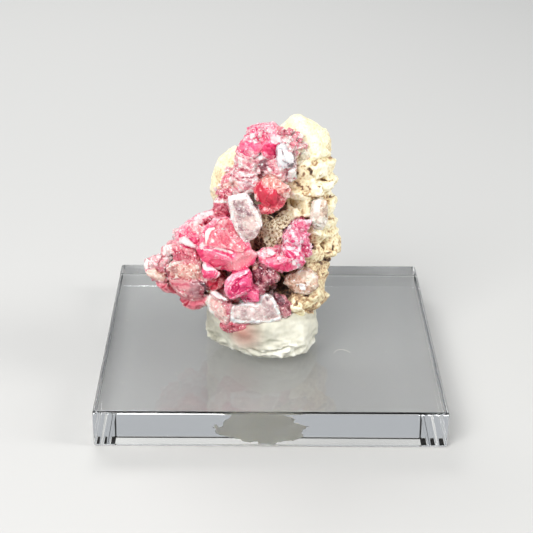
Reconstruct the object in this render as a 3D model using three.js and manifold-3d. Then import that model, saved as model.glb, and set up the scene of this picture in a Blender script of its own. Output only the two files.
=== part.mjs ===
// Cobaltoan calcite: pink and red cleavage blocks of calcite grown on a cream dolomite rock, standing
// in a pad of white mineral tack on a clear acrylic slab.
//
// Millimetres, +Z up, +X to the right and +Y away from the display side. The origin is the centre of
// the slab's underside. Each cluster of crystals that grew together is one solid. The rock has a
// socket for every cluster and the tack takes the print of all that is pressed into it, so the
// pieces lie GAP apart.
import * as THREE from 'three';
import { ConvexGeometry } from 'three/addons/geometries/ConvexGeometry.js';
import { mergeVertices } from 'three/addons/utils/BufferGeometryUtils.js';
import Module from 'manifold-3d';

const wasm = await Module();
wasm.setup();

// ---- Driving dimensions -----------------------------------------------------------------------

const GAP = 0.3; // clearance between neighbouring pieces
const SLAB = { side: 45, height: 5, bevel: 0.4 };
const TACK = {
  centre: [-1.1, -1.3], // on the slab, a little in front of the slab's centre
  // radius and height above the slab, from the contact ring up to the closed top
  profile: [[7.0, 0], [7.35, 0.8], [7.6, 2.1], [7.4, 3.6], [6.9, 5.0], [6.0, 6.1], [4.0, 7.0], [0, 7.3]],
  crease: 0.22, // depth of the finger creases
  sides: 24,
};
const ROCK_BREAK = { point: [0, 5.3, 22], normal: [0.1, 1, 0.08] }; // the flat broken back
const ROCK_ROUGHNESS = 0.09; // how far a lump swells and sinks, as a share of its radius
const LUMP_DETAIL = { fine: 3, coarse: 2, plain: 1 }; // subdivisions of the ball that a lump starts from
const LUMP_RIPPLES = 3; // how many radians of ripple run from a lump's middle to its edge

// The waves whose mean gives the rock and the tack their uneven surfaces.
const RIPPLES = [
  { wave: [1.9, 1.1, 0], phase: 0 },
  { wave: [0, 1.3, 2.3], phase: 1 },
  { wave: [1.7, 0, 2.7], phase: 2 },
];

// How steeply the facets round an outline fall away, in degrees from the outline's own plane.
const CROWN_TILTS = [38, 52, 33, 60];
const BACK_TILTS = [78, 70, 84];
const ROOT = { share: 0.62, half: 0.8 }; // how deep a cluster's crystals meet, and half the root's thickness

const BLANK_SIDE = 16; // the cube that a crystal is cut from

// The rhombohedron that calcite cleaves to: its faces' normals lie this many degrees from the c axis,
// and its two points are cut off at this multiple of its half-width.
const CLEAVAGE_POLAR = 44.6;
const BLUNT_POINTS = 1.15;

// The rock, as overlapping lumps: centre and half-sizes along X, Y and Z.
const LUMPS = [
  { centre: [3.8, 1.4, 29.6], half: [4.1, 4.3, 6.3], detail: 'fine' }, // rounded cream top
  { centre: [5.0, 1.5, 22.3], half: [3.6, 4.5, 5.8], detail: 'coarse' }, // right column
  { centre: [-5.0, 3.4, 25.6], half: [3.0, 3.3, 5.0], detail: 'coarse' }, // left lobe
  { centre: [-1.0, 2.0, 20.0], half: [6.5, 4.9, 9.2], detail: 'plain' }, // core
  { centre: [-0.9, 1.6, 29.9], half: [3.4, 3.6, 3.8], detail: 'plain' }, // behind the crest
  { centre: [1.1, -1.9, 21.4], half: [3.3, 3.0, 3.5], detail: 'coarse' }, // granular brown patch
  { centre: [-3.6, 0.0, 12.8], half: [5.4, 5.2, 4.8], detail: 'plain' }, // lower core
  { centre: [-8.8, -1.0, 17.2], half: [5.0, 3.6, 3.7], detail: 'plain' }, // root of the left arm
  { centre: [0.9, 2.4, 26.0], half: [4.4, 3.8, 6.4], detail: 'plain' }, // fills the column between the lobes
  { centre: [-3.6, 2.6, 18.6], half: [4.4, 3.7, 6.0], detail: 'plain' },
  { centre: [0.2, -1.6, 10.2], half: [5.2, 4.9, 2.9], detail: 'plain' }, // foot in the tack
  { centre: [4.6, -1.0, 12.6], half: [2.8, 3.9, 3.7], detail: 'coarse' }, // botryoidal lower right
  { centre: [7.3, 0.6, 17.8], half: [2.2, 2.6, 2.0], detail: 'coarse' }, // knob at the right
  { centre: [7.0, 1.2, 27.4], half: [1.7, 2.6, 1.5], detail: 'plain' }, // ledges down the right edge
  { centre: [7.0, 1.2, 24.4], half: [1.7, 2.5, 1.4], detail: 'plain' },
  { centre: [6.5, 0.9, 14.8], half: [1.6, 2.4, 1.7], detail: 'plain' },
  { centre: [4.9, -0.3, 17.2], half: [2.6, 3.5, 2.4], detail: 'plain' }, // between the knob and the foot
  { centre: [3.4, -4.2, 11.2], half: [1.6, 1.4, 1.4], detail: 'plain' }, // grape-like grains at the foot
  { centre: [5.3, -2.8, 11.3], half: [1.5, 1.5, 1.5], detail: 'plain' },
];

// The crystals. A block is given by its outline in the front view, [x, z], the depth y of the
// outline's middle, the lean of the outline's plane (how y grows with x and with z), how far its
// crown stands out of that plane and how deep it roots behind it. A rhomb is a plain cleavage
// rhombohedron, given by its middle, its turn in degrees about X, Y and Z, and its three half-widths.
// A cluster earlier in this list grew first, and the later ones stop against it.
const CLUSTERS = [
  {
    // the largest crystal, a bright pink block with a broad front ridge
    name: 'great_pink_crystal', color: '#e8476f',
    blocks: [{
      outline: [[-9.4, 20.6], [-8.7, 23.1], [-7.6, 24.4], [-5.5, 24.5], [-3.2, 21.4],
        [-2.1, 20.1], [-2.5, 18.9], [-4.6, 17.8], [-6.0, 17.7], [-9.1, 19.3]],
      y: -7.0, lean: [0, 0.35], crown: 0.9, depth: 5,
      cuts: [{ point: [-8.6, -8.2, 21.0], normal: [-0.25, -0.85, -0.5] },
        { point: [-4.5, -8.4, 20.1], normal: [0.45, -0.85, -0.25] }],
    }],
  },
  {
    // a cupped magenta crystal with a frosted rim, the one that stands out furthest
    name: 'cup_crystal', color: '#d8245c',
    blocks: [
      { outline: [[-6.1, 15.8], [-6.0, 17.0], [-5.4, 17.6], [-2.9, 18.4], [-2.5, 17.8],
        [-2.4, 16.5], [-2.5, 15.7], [-3.9, 14.9], [-5.2, 14.5], [-5.8, 14.9]],
      y: -9.0, lean: [0.15, 0.25], crown: 0.9, depth: 4 },
      { outline: [[-3.3, 15.5], [-2.4, 15.4], [-1.8, 15.0], [-1.5, 13.9], [-2.2, 13.9], [-3.3, 14.8]],
        y: -8.6, lean: [0.1, 0.3], crown: 0.5, depth: 3 },
    ],
  },
  {
    // a glassy hot pink facet under the great crystal
    name: 'glassy_crystal', color: '#f0558a',
    blocks: [{ outline: [[-9.1, 18.1], [-8.8, 19.4], [-8.2, 19.0], [-6.1, 19.1], [-6.6, 18.2],
      [-7.2, 17.4], [-7.8, 17.1], [-8.8, 17.2]], y: -8.8, lean: [-0.1, 0.2], crown: 0.6, depth: 3 }],
  },
  {
    // a pale lilac tablet that leans against the rock
    name: 'pale_tablet', color: '#e6cdd6',
    blocks: [{ outline: [[-5.7, 27.5], [-5.3, 27.8], [-2.8, 28.5], [-2.0, 26.4], [-1.1, 25.1],
      [-1.2, 24.0], [-2.3, 22.3], [-3.4, 21.8], [-4.7, 23.4], [-5.5, 25.7]],
    y: -6.8, lean: [-0.1, 0.15], crown: 0.7, depth: 3.4 }],
  },
  {
    // the deep red crystal at the middle of the column
    name: 'red_crystal', color: '#c9253f', rootHalf: 0.5,
    blocks: [{ outline: [[-2.2, 28.3], [-1.8, 29.3], [-1.1, 29.9], [0.0, 30.2], [1.2, 29.6], [2.4, 28.6],
      [2.0, 27.5], [1.4, 26.3], [0.7, 25.8], [-1.2, 26.5], [-2.0, 27.4]],
    y: -5.8, lean: [0, 0.05], crown: 1.2, depth: 4.5 },
    { outline: [[-1.9, 26.1], [-0.4, 26.3], [1.1, 26.1], [-0.1, 25.2], [-1.4, 25.4]],
      y: -5.6, lean: [0, 0.3], crown: 0.4, depth: 2 }],
  },
  {
    // a clear, almost colourless crystal below the crest
    name: 'clear_crystal', color: '#f4eef0',
    blocks: [{ outline: [[0.6, 32.9], [0.8, 33.8], [1.4, 33.9], [2.2, 33.2], [2.9, 32.4], [2.7, 31.5],
      [2.0, 31.2], [1.0, 31.4]], y: -4.2, lean: [-0.1, 0.3], crown: 0.9, depth: 3 }],
  },
  {
    // the crest at the top of the column
    name: 'crest_crystals', color: '#e8628c',
    blocks: [
      { outline: [[-3.3, 34.9], [-2.6, 35.5], [-2.0, 35.6], [-1.3, 35.3], [-1.3, 33.9], [-2.1, 33.2],
        [-3.1, 33.4], [-3.4, 34.2]], y: -1.5, lean: [-0.2, 0.3], crown: 0.8, depth: 4 },
      { outline: [[-1.3, 35.2], [-0.8, 35.6], [-0.1, 35.8], [0.4, 35.3], [0.5, 34.3], [-0.2, 33.7],
        [-1.2, 34.0]], y: -1.3, lean: [0.1, 0.3], crown: 0.8, depth: 4 },
      { outline: [[-4.4, 32.9], [-4.0, 34.0], [-3.2, 34.7], [-2.1, 34.1], [-1.3, 33.5], [-2.1, 32.5],
        [-3.4, 32.2], [-4.1, 32.6]], y: -3.0, lean: [-0.3, 0.1], crown: 0.8, depth: 4 },
      { outline: [[-1.3, 33.8], [-0.3, 34.2], [0.5, 33.6], [0.6, 32.7], [0.4, 31.9], [-0.5, 32.0],
        [-1.2, 32.8]], y: -3.0, lean: [0.1, 0], crown: 0.7, depth: 4 },
      { outline: [[-0.5, 35.1], [1.2, 35.3], [1.2, 33.8], [0.4, 33.7], [-0.3, 34.1]],
        y: -2.6, lean: [0.1, 0.5], crown: 0.6, depth: 3 },
    ],
  },
  {
    // small violet-pink rhombs to the right of the crest
    name: 'crest_druse', color: '#c45f86', rootHalf: 0.3,
    rhombs: [
      { at: [1.9, -2.6, 34.6], turn: [30, 10, 20], half: [0.8, 0.7, 0.7] },
      { at: [2.6, -2.7, 33.9], turn: [10, 40, 60], half: [0.8, 0.7, 0.8] },
      { at: [3.2, -2.6, 32.9], turn: [50, 20, 10], half: [0.8, 0.8, 0.7] },
      { at: [3.6, -2.3, 31.8], turn: [20, 60, 35], half: [0.8, 0.6, 0.7] },
      { at: [2.2, -3.0, 33.3], turn: [70, 15, 50], half: [0.7, 0.7, 0.6] },
    ],
  },
  {
    // pale pink and grey-violet crystals between the crest and the red crystal
    name: 'upper_crystals', color: '#dda0b2',
    blocks: [
      { outline: [[-4.9, 31.6], [-4.1, 32.3], [-2.6, 32.4], [-2.1, 31.0], [-2.6, 30.2], [-4.1, 30.1],
        [-4.9, 30.5]], y: -3.4, lean: [-0.2, 0.2], crown: 0.8, depth: 4 },
      { outline: [[-5.4, 29.1], [-5.2, 30.1], [-3.5, 30.4], [-1.9, 30.1], [-2.2, 29.1], [-4.1, 28.8]],
        y: -4.0, lean: [-0.1, 0.4], crown: 0.6, depth: 4 },
      { outline: [[-4.9, 27.7], [-4.4, 29.1], [-2.0, 29.7], [-1.9, 28.4], [-2.8, 27.7]],
        y: -4.7, lean: [-0.1, 0.1], crown: 0.7, depth: 4 },
      { outline: [[-2.1, 31.9], [-0.8, 32.1], [0.0, 31.3], [-0.2, 30.1], [-1.8, 30.2]],
        y: -3.2, lean: [0.1, 0.1], crown: 0.6, depth: 4 },
      { outline: [[-0.5, 31.5], [0.8, 31.8], [2.0, 30.4], [1.7, 29.1], [0.0, 29.4], [-0.8, 30.3]],
        y: -3.8, lean: [0.2, 0.1], crown: 0.8, depth: 4 },
      { outline: [[2.0, 30.8], [2.8, 31.0], [3.0, 29.9], [2.6, 28.8], [2.0, 29.2]],
        y: -3.6, lean: [0.2, 0.1], crown: 0.5, depth: 3 },
    ],
  },
  {
    // the left edge of the column
    name: 'left_column_crystals', color: '#e07a96',
    blocks: [
      { outline: [[-6.7, 28.1], [-5.9, 29.3], [-4.7, 29.9], [-4.4, 28.3], [-5.1, 27.1], [-6.5, 27.1]],
        y: -2.2, lean: [-0.4, 0.1], crown: 0.7, depth: 4 },
      { outline: [[-6.9, 27.3], [-5.7, 27.6], [-5.3, 27.1], [-5.7, 26.2], [-6.9, 26.0]],
        y: -3.2, lean: [-0.4, 0.1], crown: 0.5, depth: 4 },
      { outline: [[-7.7, 25.7], [-6.8, 26.4], [-5.6, 26.2], [-5.3, 24.1], [-6.2, 23.7], [-7.4, 24.0]],
        y: -3.6, lean: [-0.3, 0.1], crown: 0.8, depth: 4.5 },
      { outline: [[-5.9, 28.4], [-4.8, 28.4], [-4.6, 27.5], [-5.6, 26.8], [-6.1, 27.3]],
        y: -4.4, lean: [-0.2, 0.1], crown: 0.6, depth: 4 },
    ],
  },
  {
    // frosted crystals on the shoulder of the left arm
    name: 'shoulder_crystals', color: '#ee6d8b',
    blocks: [
      { outline: [[-12.6, 21.6], [-12.0, 22.6], [-11.2, 23.1], [-10.6, 23.4], [-10.3, 22.3], [-10.8, 21.3],
        [-11.9, 20.6], [-12.5, 20.8]], y: -4.5, lean: [-0.4, 0.3], crown: 0.7, depth: 4 },
      { outline: [[-10.7, 23.5], [-10.0, 23.9], [-9.0, 23.7], [-8.7, 22.7], [-9.0, 21.6], [-9.9, 20.3],
        [-10.7, 21.3], [-10.8, 22.5]], y: -5.4, lean: [0, 0.3], crown: 0.9, depth: 4.5 },
      { outline: [[-10.2, 23.6], [-9.9, 23.9], [-8.8, 24.3], [-7.6, 24.5], [-7.3, 23.9], [-8.5, 23.5],
        [-9.8, 23.3]], y: -3.6, lean: [-0.1, 1.0], crown: 0.3, depth: 3 },
      { outline: [[-12.0, 21.0], [-11.7, 21.6], [-11.1, 21.7], [-9.7, 20.6], [-11.2, 20.7]],
        y: -5.8, lean: [-0.3, 0.7], crown: 0.3, depth: 2.5 },
    ],
  },
  {
    // the thumb of pale and red crystals above the arm's tip
    name: 'thumb_crystals', color: '#d8506f',
    blocks: [
      { outline: [[-14.5, 19.1], [-14.4, 19.5], [-13.8, 19.8], [-12.9, 20.0], [-12.1, 20.0], [-12.8, 19.3],
        [-13.1, 18.3], [-14.4, 18.2]], y: -4.0, lean: [-0.2, 0.4], crown: 0.6, depth: 4 },
      { outline: [[-13.1, 20.0], [-11.9, 20.3], [-9.7, 19.9], [-9.3, 18.9], [-9.9, 18.2], [-11.8, 18.0],
        [-12.8, 18.2]], y: -5.4, lean: [-0.1, 0.3], crown: 0.8, depth: 5 },
    ],
  },
  {
    // the arm's tip, pale pink blades that point to the left
    name: 'tip_crystals', color: '#f0a9b6',
    blocks: [
      { outline: [[-17.0, 17.1], [-16.7, 18.0], [-16.1, 18.2], [-14.5, 18.4], [-13.0, 18.2], [-13.6, 17.5],
        [-14.0, 16.7], [-15.8, 16.5], [-16.8, 16.5]], y: -4.6, lean: [-0.1, 0.4], crown: 0.7, depth: 3.5 },
      { outline: [[-16.8, 16.4], [-15.7, 16.7], [-14.1, 16.6], [-13.6, 15.4], [-14.6, 15.0], [-15.8, 15.3],
        [-16.5, 15.9]], y: -5.2, lean: [-0.1, 0.2], crown: 0.6, depth: 3 },
    ],
  },
  {
    // the underside of the arm: one frosted beige-pink top block over mauve and red ones
    name: 'arm_crystals', color: '#c9607f',
    blocks: [
      { outline: [[-13.9, 17.6], [-13.2, 18.1], [-11.4, 18.3], [-9.4, 18.4], [-9.1, 17.4], [-9.1, 16.2],
        [-11.2, 16.0], [-13.5, 16.0]], y: -6.6, lean: [-0.15, 0.5], crown: 0.6, depth: 4.5 },
      { outline: [[-13.6, 15.8], [-11.3, 16.2], [-8.9, 16.3], [-8.7, 14.9], [-9.3, 13.4], [-10.9, 13.0],
        [-12.1, 13.4], [-12.8, 14.6]], y: -7.0, lean: [-0.2, -0.2], crown: 0.7, depth: 4.5 },
      { outline: [[-12.4, 13.1], [-10.7, 13.3], [-9.0, 13.8], [-8.3, 13.6], [-8.5, 12.5], [-9.6, 11.6],
        [-10.6, 11.4], [-11.6, 12.0]], y: -6.4, lean: [-0.2, -0.1], crown: 0.7, depth: 4 },
      { outline: [[-15.6, 14.3], [-14.9, 15.0], [-14.0, 14.7], [-13.2, 13.7], [-12.4, 12.8], [-13.5, 12.6],
        [-14.3, 13.5], [-15.2, 13.7]], y: -5.0, lean: [-0.3, -0.2], crown: 0.5, depth: 4 },
    ],
  },
  {
    // rhombs that close the arm behind
    name: 'arm_back_crystals', color: '#d9788f',
    rhombs: [
      { at: [-13.2, -0.4, 15.4], turn: [20, 35, 10], half: [1.4, 1.1, 1.2] },
      { at: [-11.4, 1.4, 17.4], turn: [-35, 20, 40], half: [1.6, 1.3, 1.4] },
      { at: [-11.0, 1.2, 14.3], turn: [15, 55, 25], half: [1.4, 1.4, 1.1] },
      { at: [-8.6, 2.7, 18.6], turn: [-20, 10, 65], half: [1.7, 1.4, 1.5] },
      { at: [-8.6, 2.5, 15.4], turn: [40, 30, 5], half: [1.6, 1.4, 1.5] },
      { at: [-7.6, 2.2, 12.8], turn: [65, 20, 30], half: [1.3, 1.2, 1.3] },
    ],
  },
  {
    // a milky bar and its upright neighbour along the foot
    name: 'foot_bar_crystals', color: '#f2dcd9',
    blocks: [
      { outline: [[-5.3, 11.3], [-5.1, 12.5], [-3.7, 13.0], [-1.5, 13.0], [-1.3, 11.8], [-1.4, 10.5],
        [-4.3, 10.4], [-5.1, 10.5]], y: -7.8, lean: [-0.1, 0.1], crown: 0.6, depth: 3.5 },
      { outline: [[-1.6, 12.7], [-1.3, 13.8], [-0.6, 14.1], [0.2, 13.8], [0.9, 12.5], [1.3, 11.2],
        [1.3, 10.7], [-0.1, 10.5], [-1.5, 10.4]], y: -7.4, lean: [0.1, 0.15], crown: 0.6, depth: 3.5 },
    ],
  },
  {
    // frosted pink crystals at the left of the foot, under a white ridge
    name: 'foot_left_crystals', color: '#e9a3b0',
    blocks: [
      { outline: [[-8.3, 13.9], [-7.7, 13.8], [-6.2, 13.3], [-5.3, 12.8], [-5.4, 11.5], [-5.7, 10.2],
        [-6.3, 10.1], [-7.4, 10.9], [-8.2, 11.6]], y: -7.4, lean: [-0.2, 0.1], crown: 0.7, depth: 4 },
      { outline: [[-8.0, 14.5], [-7.5, 14.6], [-6.5, 14.2], [-5.5, 13.8], [-5.9, 13.6], [-7.1, 13.8],
        [-7.8, 14.1]], y: -7.6, lean: [-0.1, 1.2], crown: 0.3, depth: 2.5 },
    ],
  },
  {
    // dark red crystals in the hollow between the arm and the cup
    name: 'hollow_red_crystals', color: '#9c1f3c', rootHalf: 0.5,
    blocks: [
      { outline: [[-8.9, 16.4], [-7.4, 16.7], [-6.4, 16.1], [-6.7, 15.2], [-7.7, 15.0], [-8.7, 15.2]],
        y: -7.0, lean: [0, 0.1], crown: 0.5, depth: 3.5 },
      { outline: [[-6.6, 14.4], [-5.4, 14.2], [-3.6, 14.4], [-3.2, 13.6], [-4.6, 13.3], [-6.2, 13.6]],
        y: -7.0, lean: [0, 0.3], crown: 0.4, depth: 3.5 },
    ],
  },
  {
    // the red crystal that dips into the tack
    name: 'foot_red_crystal', color: '#c8516b',
    blocks: [{ outline: [[-6.9, 9.4], [-5.7, 10.5], [-3.7, 10.3], [-2.6, 9.7], [-3.4, 9.0], [-4.7, 8.7],
      [-5.9, 8.6]], y: -7.2, lean: [0, -0.3], crown: 0.5, depth: 3 }],
  },
  {
    // a mauve-pink block at the right of the foot
    name: 'foot_right_crystal', color: '#c98a97',
    blocks: [{ outline: [[0.7, 13.7], [1.9, 13.4], [2.6, 12.4], [2.7, 11.0], [1.9, 10.2], [1.3, 10.5]],
      y: -6.2, lean: [0.2, 0.1], crown: 0.6, depth: 3.5 }],
  },
  {
    // frosted mauve blocks in the shade beside the cup
    name: 'mauve_crystals', color: '#9a5a70',
    blocks: [
      { outline: [[-2.4, 18.6], [-1.2, 18.7], [0.0, 17.6], [1.3, 17.0], [1.2, 15.8], [-0.4, 15.0],
        [-1.7, 15.2], [-2.4, 16.7]], y: -6.4, lean: [0.1, 0], crown: 0.9, depth: 4 },
      { outline: [[-2.5, 15.8], [-1.2, 15.6], [-0.8, 14.8], [-1.2, 14.0], [-2.0, 14.1]],
        y: -7.0, lean: [0.1, 0], crown: 0.6, depth: 3.5 },
    ],
  },
  {
    // a white blade over a hot pink one, below the brown patch
    name: 'right_blade_crystals', color: '#ee3f86',
    blocks: [
      { outline: [[-1.9, 19.8], [-1.1, 20.4], [1.0, 20.4], [1.3, 19.4], [1.2, 18.7], [-1.1, 18.6],
        [-1.6, 19.2]], y: -6.4, lean: [0, 0.5], crown: 0.6, depth: 4 },
      { outline: [[-1.2, 18.7], [1.2, 19.5], [2.6, 19.2], [3.6, 17.9], [1.7, 17.2], [0.8, 17.4]],
        y: -6.9, lean: [0, -0.3], crown: 0.5, depth: 4 },
    ],
  },
  {
    // sparkling magenta crystals at the right, beside the brown patch
    name: 'right_druse_crystals', color: '#d4357a',
    blocks: [
      { outline: [[1.7, 22.0], [2.5, 22.9], [3.4, 22.6], [4.0, 21.7], [3.8, 20.5], [2.7, 20.1], [1.8, 20.8]],
        y: -5.8, lean: [0.1, 0.2], crown: 0.9, depth: 4 },
      { outline: [[1.6, 20.6], [2.7, 20.6], [3.8, 20.3], [4.6, 18.3], [3.7, 17.5], [2.2, 18.5]],
        y: -6.2, lean: [0.2, 0], crown: 0.9, depth: 4 },
      { outline: [[3.1, 23.4], [3.9, 23.8], [5.2, 23.5], [5.0, 22.5], [3.8, 22.1], [3.0, 22.6]],
        y: -4.6, lean: [0.2, 0.3], crown: 0.6, depth: 3.5 },
      { outline: [[3.9, 21.8], [4.9, 22.1], [5.3, 20.0], [5.6, 18.8], [4.7, 18.4], [4.0, 20.0]],
        y: -4.8, lean: [0.5, 0], crown: 0.6, depth: 3.5 },
    ],
  },
  {
    // a milky upright prism in the right column
    name: 'milky_prism', color: '#efe9da',
    blocks: [{ outline: [[5.5, 24.5], [5.7, 25.9], [6.3, 26.2], [7.2, 26.0], [7.5, 24.8], [7.4, 23.0],
      [6.8, 21.9], [5.8, 22.2], [5.4, 23.3]], y: -3.4, lean: [0.2, 0.1], crown: 0.7, depth: 3.5 }],
  },
  {
    // a peach-coloured crystal in the hollow at the lower right
    name: 'peach_crystal', color: '#dcb194',
    blocks: [{ outline: [[1.7, 14.9], [2.2, 15.8], [3.5, 16.2], [5.1, 16.3], [6.3, 15.5], [6.2, 14.5],
      [4.9, 13.6], [3.3, 13.9]], y: -4.8, lean: [0.1, 0.3], crown: 1.1, depth: 4 }],
  },
  {
    // a patch of small pale rhombs on the broken back of the rock
    name: 'rear_crystals', color: '#e7b3bf', rootHalf: 0.5,
    rhombs: [
      { at: [-2.4, 5.4, 21.6], turn: [30, 10, 20], half: [1.1, 0.9, 1.0] },
      { at: [-0.7, 5.3, 20.2], turn: [10, 40, 60], half: [1.3, 1.0, 1.1] },
      { at: [-3.2, 5.4, 19.3], turn: [50, 25, 10], half: [1.1, 1.1, 0.9] },
      { at: [-1.5, 5.5, 18.0], turn: [20, 60, 35], half: [1.0, 1.0, 1.1] },
      { at: [-3.4, 5.5, 16.8], turn: [70, 10, 15], half: [0.8, 0.9, 0.8] },
    ],
  },
];

const STONE_COLORS = { rock: '#f3e8c4', tack: '#edefe2', slab: '#f4f8fa' };

// ---- Solids -----------------------------------------------------------------------------------

/** A closed three.js geometry as a solid that can be joined and cut. */
function toSolid(geometry) {
  const bare = new THREE.BufferGeometry().setAttribute('position', geometry.getAttribute('position'));
  if (geometry.index) bare.setIndex(geometry.index);
  const merged = mergeVertices(bare, 1e-4);
  return new wasm.Manifold(new wasm.Mesh({
    numProp: 3,
    vertProperties: new Float32Array(merged.attributes.position.array),
    triVerts: new Uint32Array(merged.index.array),
  }));
}

/** A solid as a named mesh with its own material. */
function toMesh(name, solid, material) {
  const { vertProperties, triVerts, numProp } = solid.getMesh();
  const positions = new Float32Array(vertProperties.length / numProp * 3);
  for (let i = 0; i < positions.length / 3; i++) {
    positions.set(vertProperties.subarray(i * numProp, i * numProp + 3), i * 3);
  }
  const geometry = new THREE.BufferGeometry()
    .setAttribute('position', new THREE.BufferAttribute(positions, 3))
    .setIndex(new THREE.BufferAttribute(triVerts, 1));
  geometry.computeVertexNormals();
  const mesh = new THREE.Mesh(geometry, new THREE.MeshStandardMaterial(material));
  mesh.name = name;
  return mesh;
}

const join = (solids) => solids.reduce((whole, solid) => whole.add(solid));

/** The largest body of a solid: a cut can leave splinters beside it. */
function largestBody(solid) {
  return solid.decompose().reduce((best, body) => (body.volume() > best.volume() ? body : best));
}

/** A repeatable smooth ripple from -1 to 1 that gives a lump or the tack its uneven surface. */
function ripple(x, y, z) {
  const heights = RIPPLES.map(({ wave, phase }) => Math.sin(wave[0] * x + wave[1] * y + wave[2] * z + phase));
  return heights.reduce((sum, height) => sum + height) / heights.length;
}

// ---- Crystals ---------------------------------------------------------------------------------

/** The middle of a block's outline and the unit normal of its plane, towards the front. */
function blockFrame({ outline, y, lean }) {
  const middle = outline.reduce((sum, [x, z]) => sum.add(new THREE.Vector3(x, 0, z)), new THREE.Vector3());
  middle.divideScalar(outline.length).setY(y);
  return { middle, normal: new THREE.Vector3(lean[0], -1, lean[1]).normalize() };
}

/** The facets of a block: its table, a crown and a back facet at each side, its rear and its cuts. */
function blockFacets(block) {
  const { outline, lean, crown, depth, cuts = [] } = block;
  const { middle, normal } = blockFrame(block);
  const rim = outline.map(([x, z]) => new THREE.Vector3(
    x, middle.y + lean[0] * (x - middle.x) + lean[1] * (z - middle.z), z));
  const facets = [
    { normal, point: middle.clone().addScaledVector(normal, crown) },
    { normal: normal.clone().negate(), point: middle.clone().addScaledVector(normal, -depth) },
  ];
  rim.forEach((start, i) => {
    const end = rim[(i + 1) % rim.length];
    const outward = end.clone().sub(start).cross(normal).normalize();
    if (outward.dot(start.clone().sub(middle)) < 0) outward.negate();
    const crownTilt = THREE.MathUtils.degToRad(CROWN_TILTS[i % CROWN_TILTS.length]);
    const backTilt = THREE.MathUtils.degToRad(BACK_TILTS[i % BACK_TILTS.length]);
    facets.push(
      { point: start, normal: outward.clone().multiplyScalar(Math.sin(crownTilt))
        .addScaledVector(normal, Math.cos(crownTilt)) },
      { point: start, normal: outward.clone().multiplyScalar(Math.sin(backTilt))
        .addScaledVector(normal, -Math.cos(backTilt)) });
  });
  cuts.forEach((cut) => facets.push({
    point: new THREE.Vector3(...cut.point), normal: new THREE.Vector3(...cut.normal).normalize() }));
  return { middle, facets };
}

/** The facets of a cleavage rhombohedron: three pairs of parallel faces round the c axis. */
function rhombFacets({ at, turn, half }) {
  const middle = new THREE.Vector3(...at);
  const rotation = new THREE.Euler(...turn.map(THREE.MathUtils.degToRad));
  const pairOfFaces = (polar, azimuth, width) => {
    const normal = new THREE.Vector3().setFromSphericalCoords(1, polar, azimuth).applyEuler(rotation);
    return [1, -1].map((side) => ({
      normal: normal.clone().multiplyScalar(side),
      point: middle.clone().addScaledVector(normal, side * width),
    }));
  };
  const facets = half.flatMap((width, i) => pairOfFaces(
    THREE.MathUtils.degToRad(CLEAVAGE_POLAR), i * 2 * Math.PI / 3, width));
  return { middle, facets: [...facets, ...pairOfFaces(0, 0, BLUNT_POINTS * Math.max(...half))] };
}

/** A crystal cut out of a plain cube by its facets, each moved out by grow. */
function cleave({ middle, facets }, grow) {
  const blank = new THREE.BoxGeometry(BLANK_SIDE, BLANK_SIDE, BLANK_SIDE)
    .translate(middle.x, middle.y, middle.z);
  return facets.reduce((solid, { normal, point }) => solid.trimByPlane(
    normal.clone().negate().toArray(), -normal.dot(point) - grow), toSolid(blank));
}

/** The shared root that the crystals of one cluster grew from, inside them. */
function clusterRoot({ blocks = [], rhombs = [], rootHalf = ROOT.half }, grow) {
  const half = rootHalf + grow;
  const seeds = blocks.map((block) => {
    const { middle, normal } = blockFrame(block);
    return middle.addScaledVector(normal, -ROOT.share * block.depth);
  }).concat(rhombs.map(({ at }) => new THREE.Vector3(...at)));
  const corners = seeds.flatMap((seed) => [-half, half].flatMap((dx) => [-half, half].flatMap((dy) =>
    [-half, half].map((dz) => seed.clone().add(new THREE.Vector3(dx, dy, dz))))));
  return toSolid(new ConvexGeometry(corners));
}

/** A whole cluster, with every facet moved out by grow. */
function clusterSolid(cluster, grow) {
  const { blocks = [], rhombs = [] } = cluster;
  const crystals = [...blocks.map(blockFacets), ...rhombs.map(rhombFacets)]
    .map((crystal) => cleave(crystal, grow));
  const needsRoot = crystals.length > 1;
  return join(needsRoot ? [...crystals, clusterRoot(cluster, grow)] : crystals);
}

// ---- Rock, tack and slab ----------------------------------------------------------------------

/** One lump of the rock: a ball stretched to its half-sizes and roughened, moved out by grow. */
function lump({ centre, half, detail }, grow) {
  const ball = new THREE.IcosahedronGeometry(1, LUMP_DETAIL[detail]);
  const position = ball.getAttribute('position');
  const point = new THREE.Vector3();
  for (let i = 0; i < position.count; i++) {
    point.fromBufferAttribute(position, i);
    const swell = 1 + ROCK_ROUGHNESS * ripple(...[point.x, point.y, point.z].map(
      (share, axis) => LUMP_RIPPLES * share + centre[axis]));
    position.setXYZ(i, ...[point.x, point.y, point.z].map(
      (share, axis) => centre[axis] + share * (half[axis] * swell + grow)));
  }
  return toSolid(ball);
}

/** The rock before its sockets are cut: all the lumps, broken off flat at the back. */
function rockSolid(grow) {
  const { point, normal } = ROCK_BREAK;
  const away = new THREE.Vector3(...normal).normalize().negate();
  return join(LUMPS.map((one) => lump(one, grow)))
    .trimByPlane(away.toArray(), away.dot(new THREE.Vector3(...point)) - grow);
}

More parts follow.
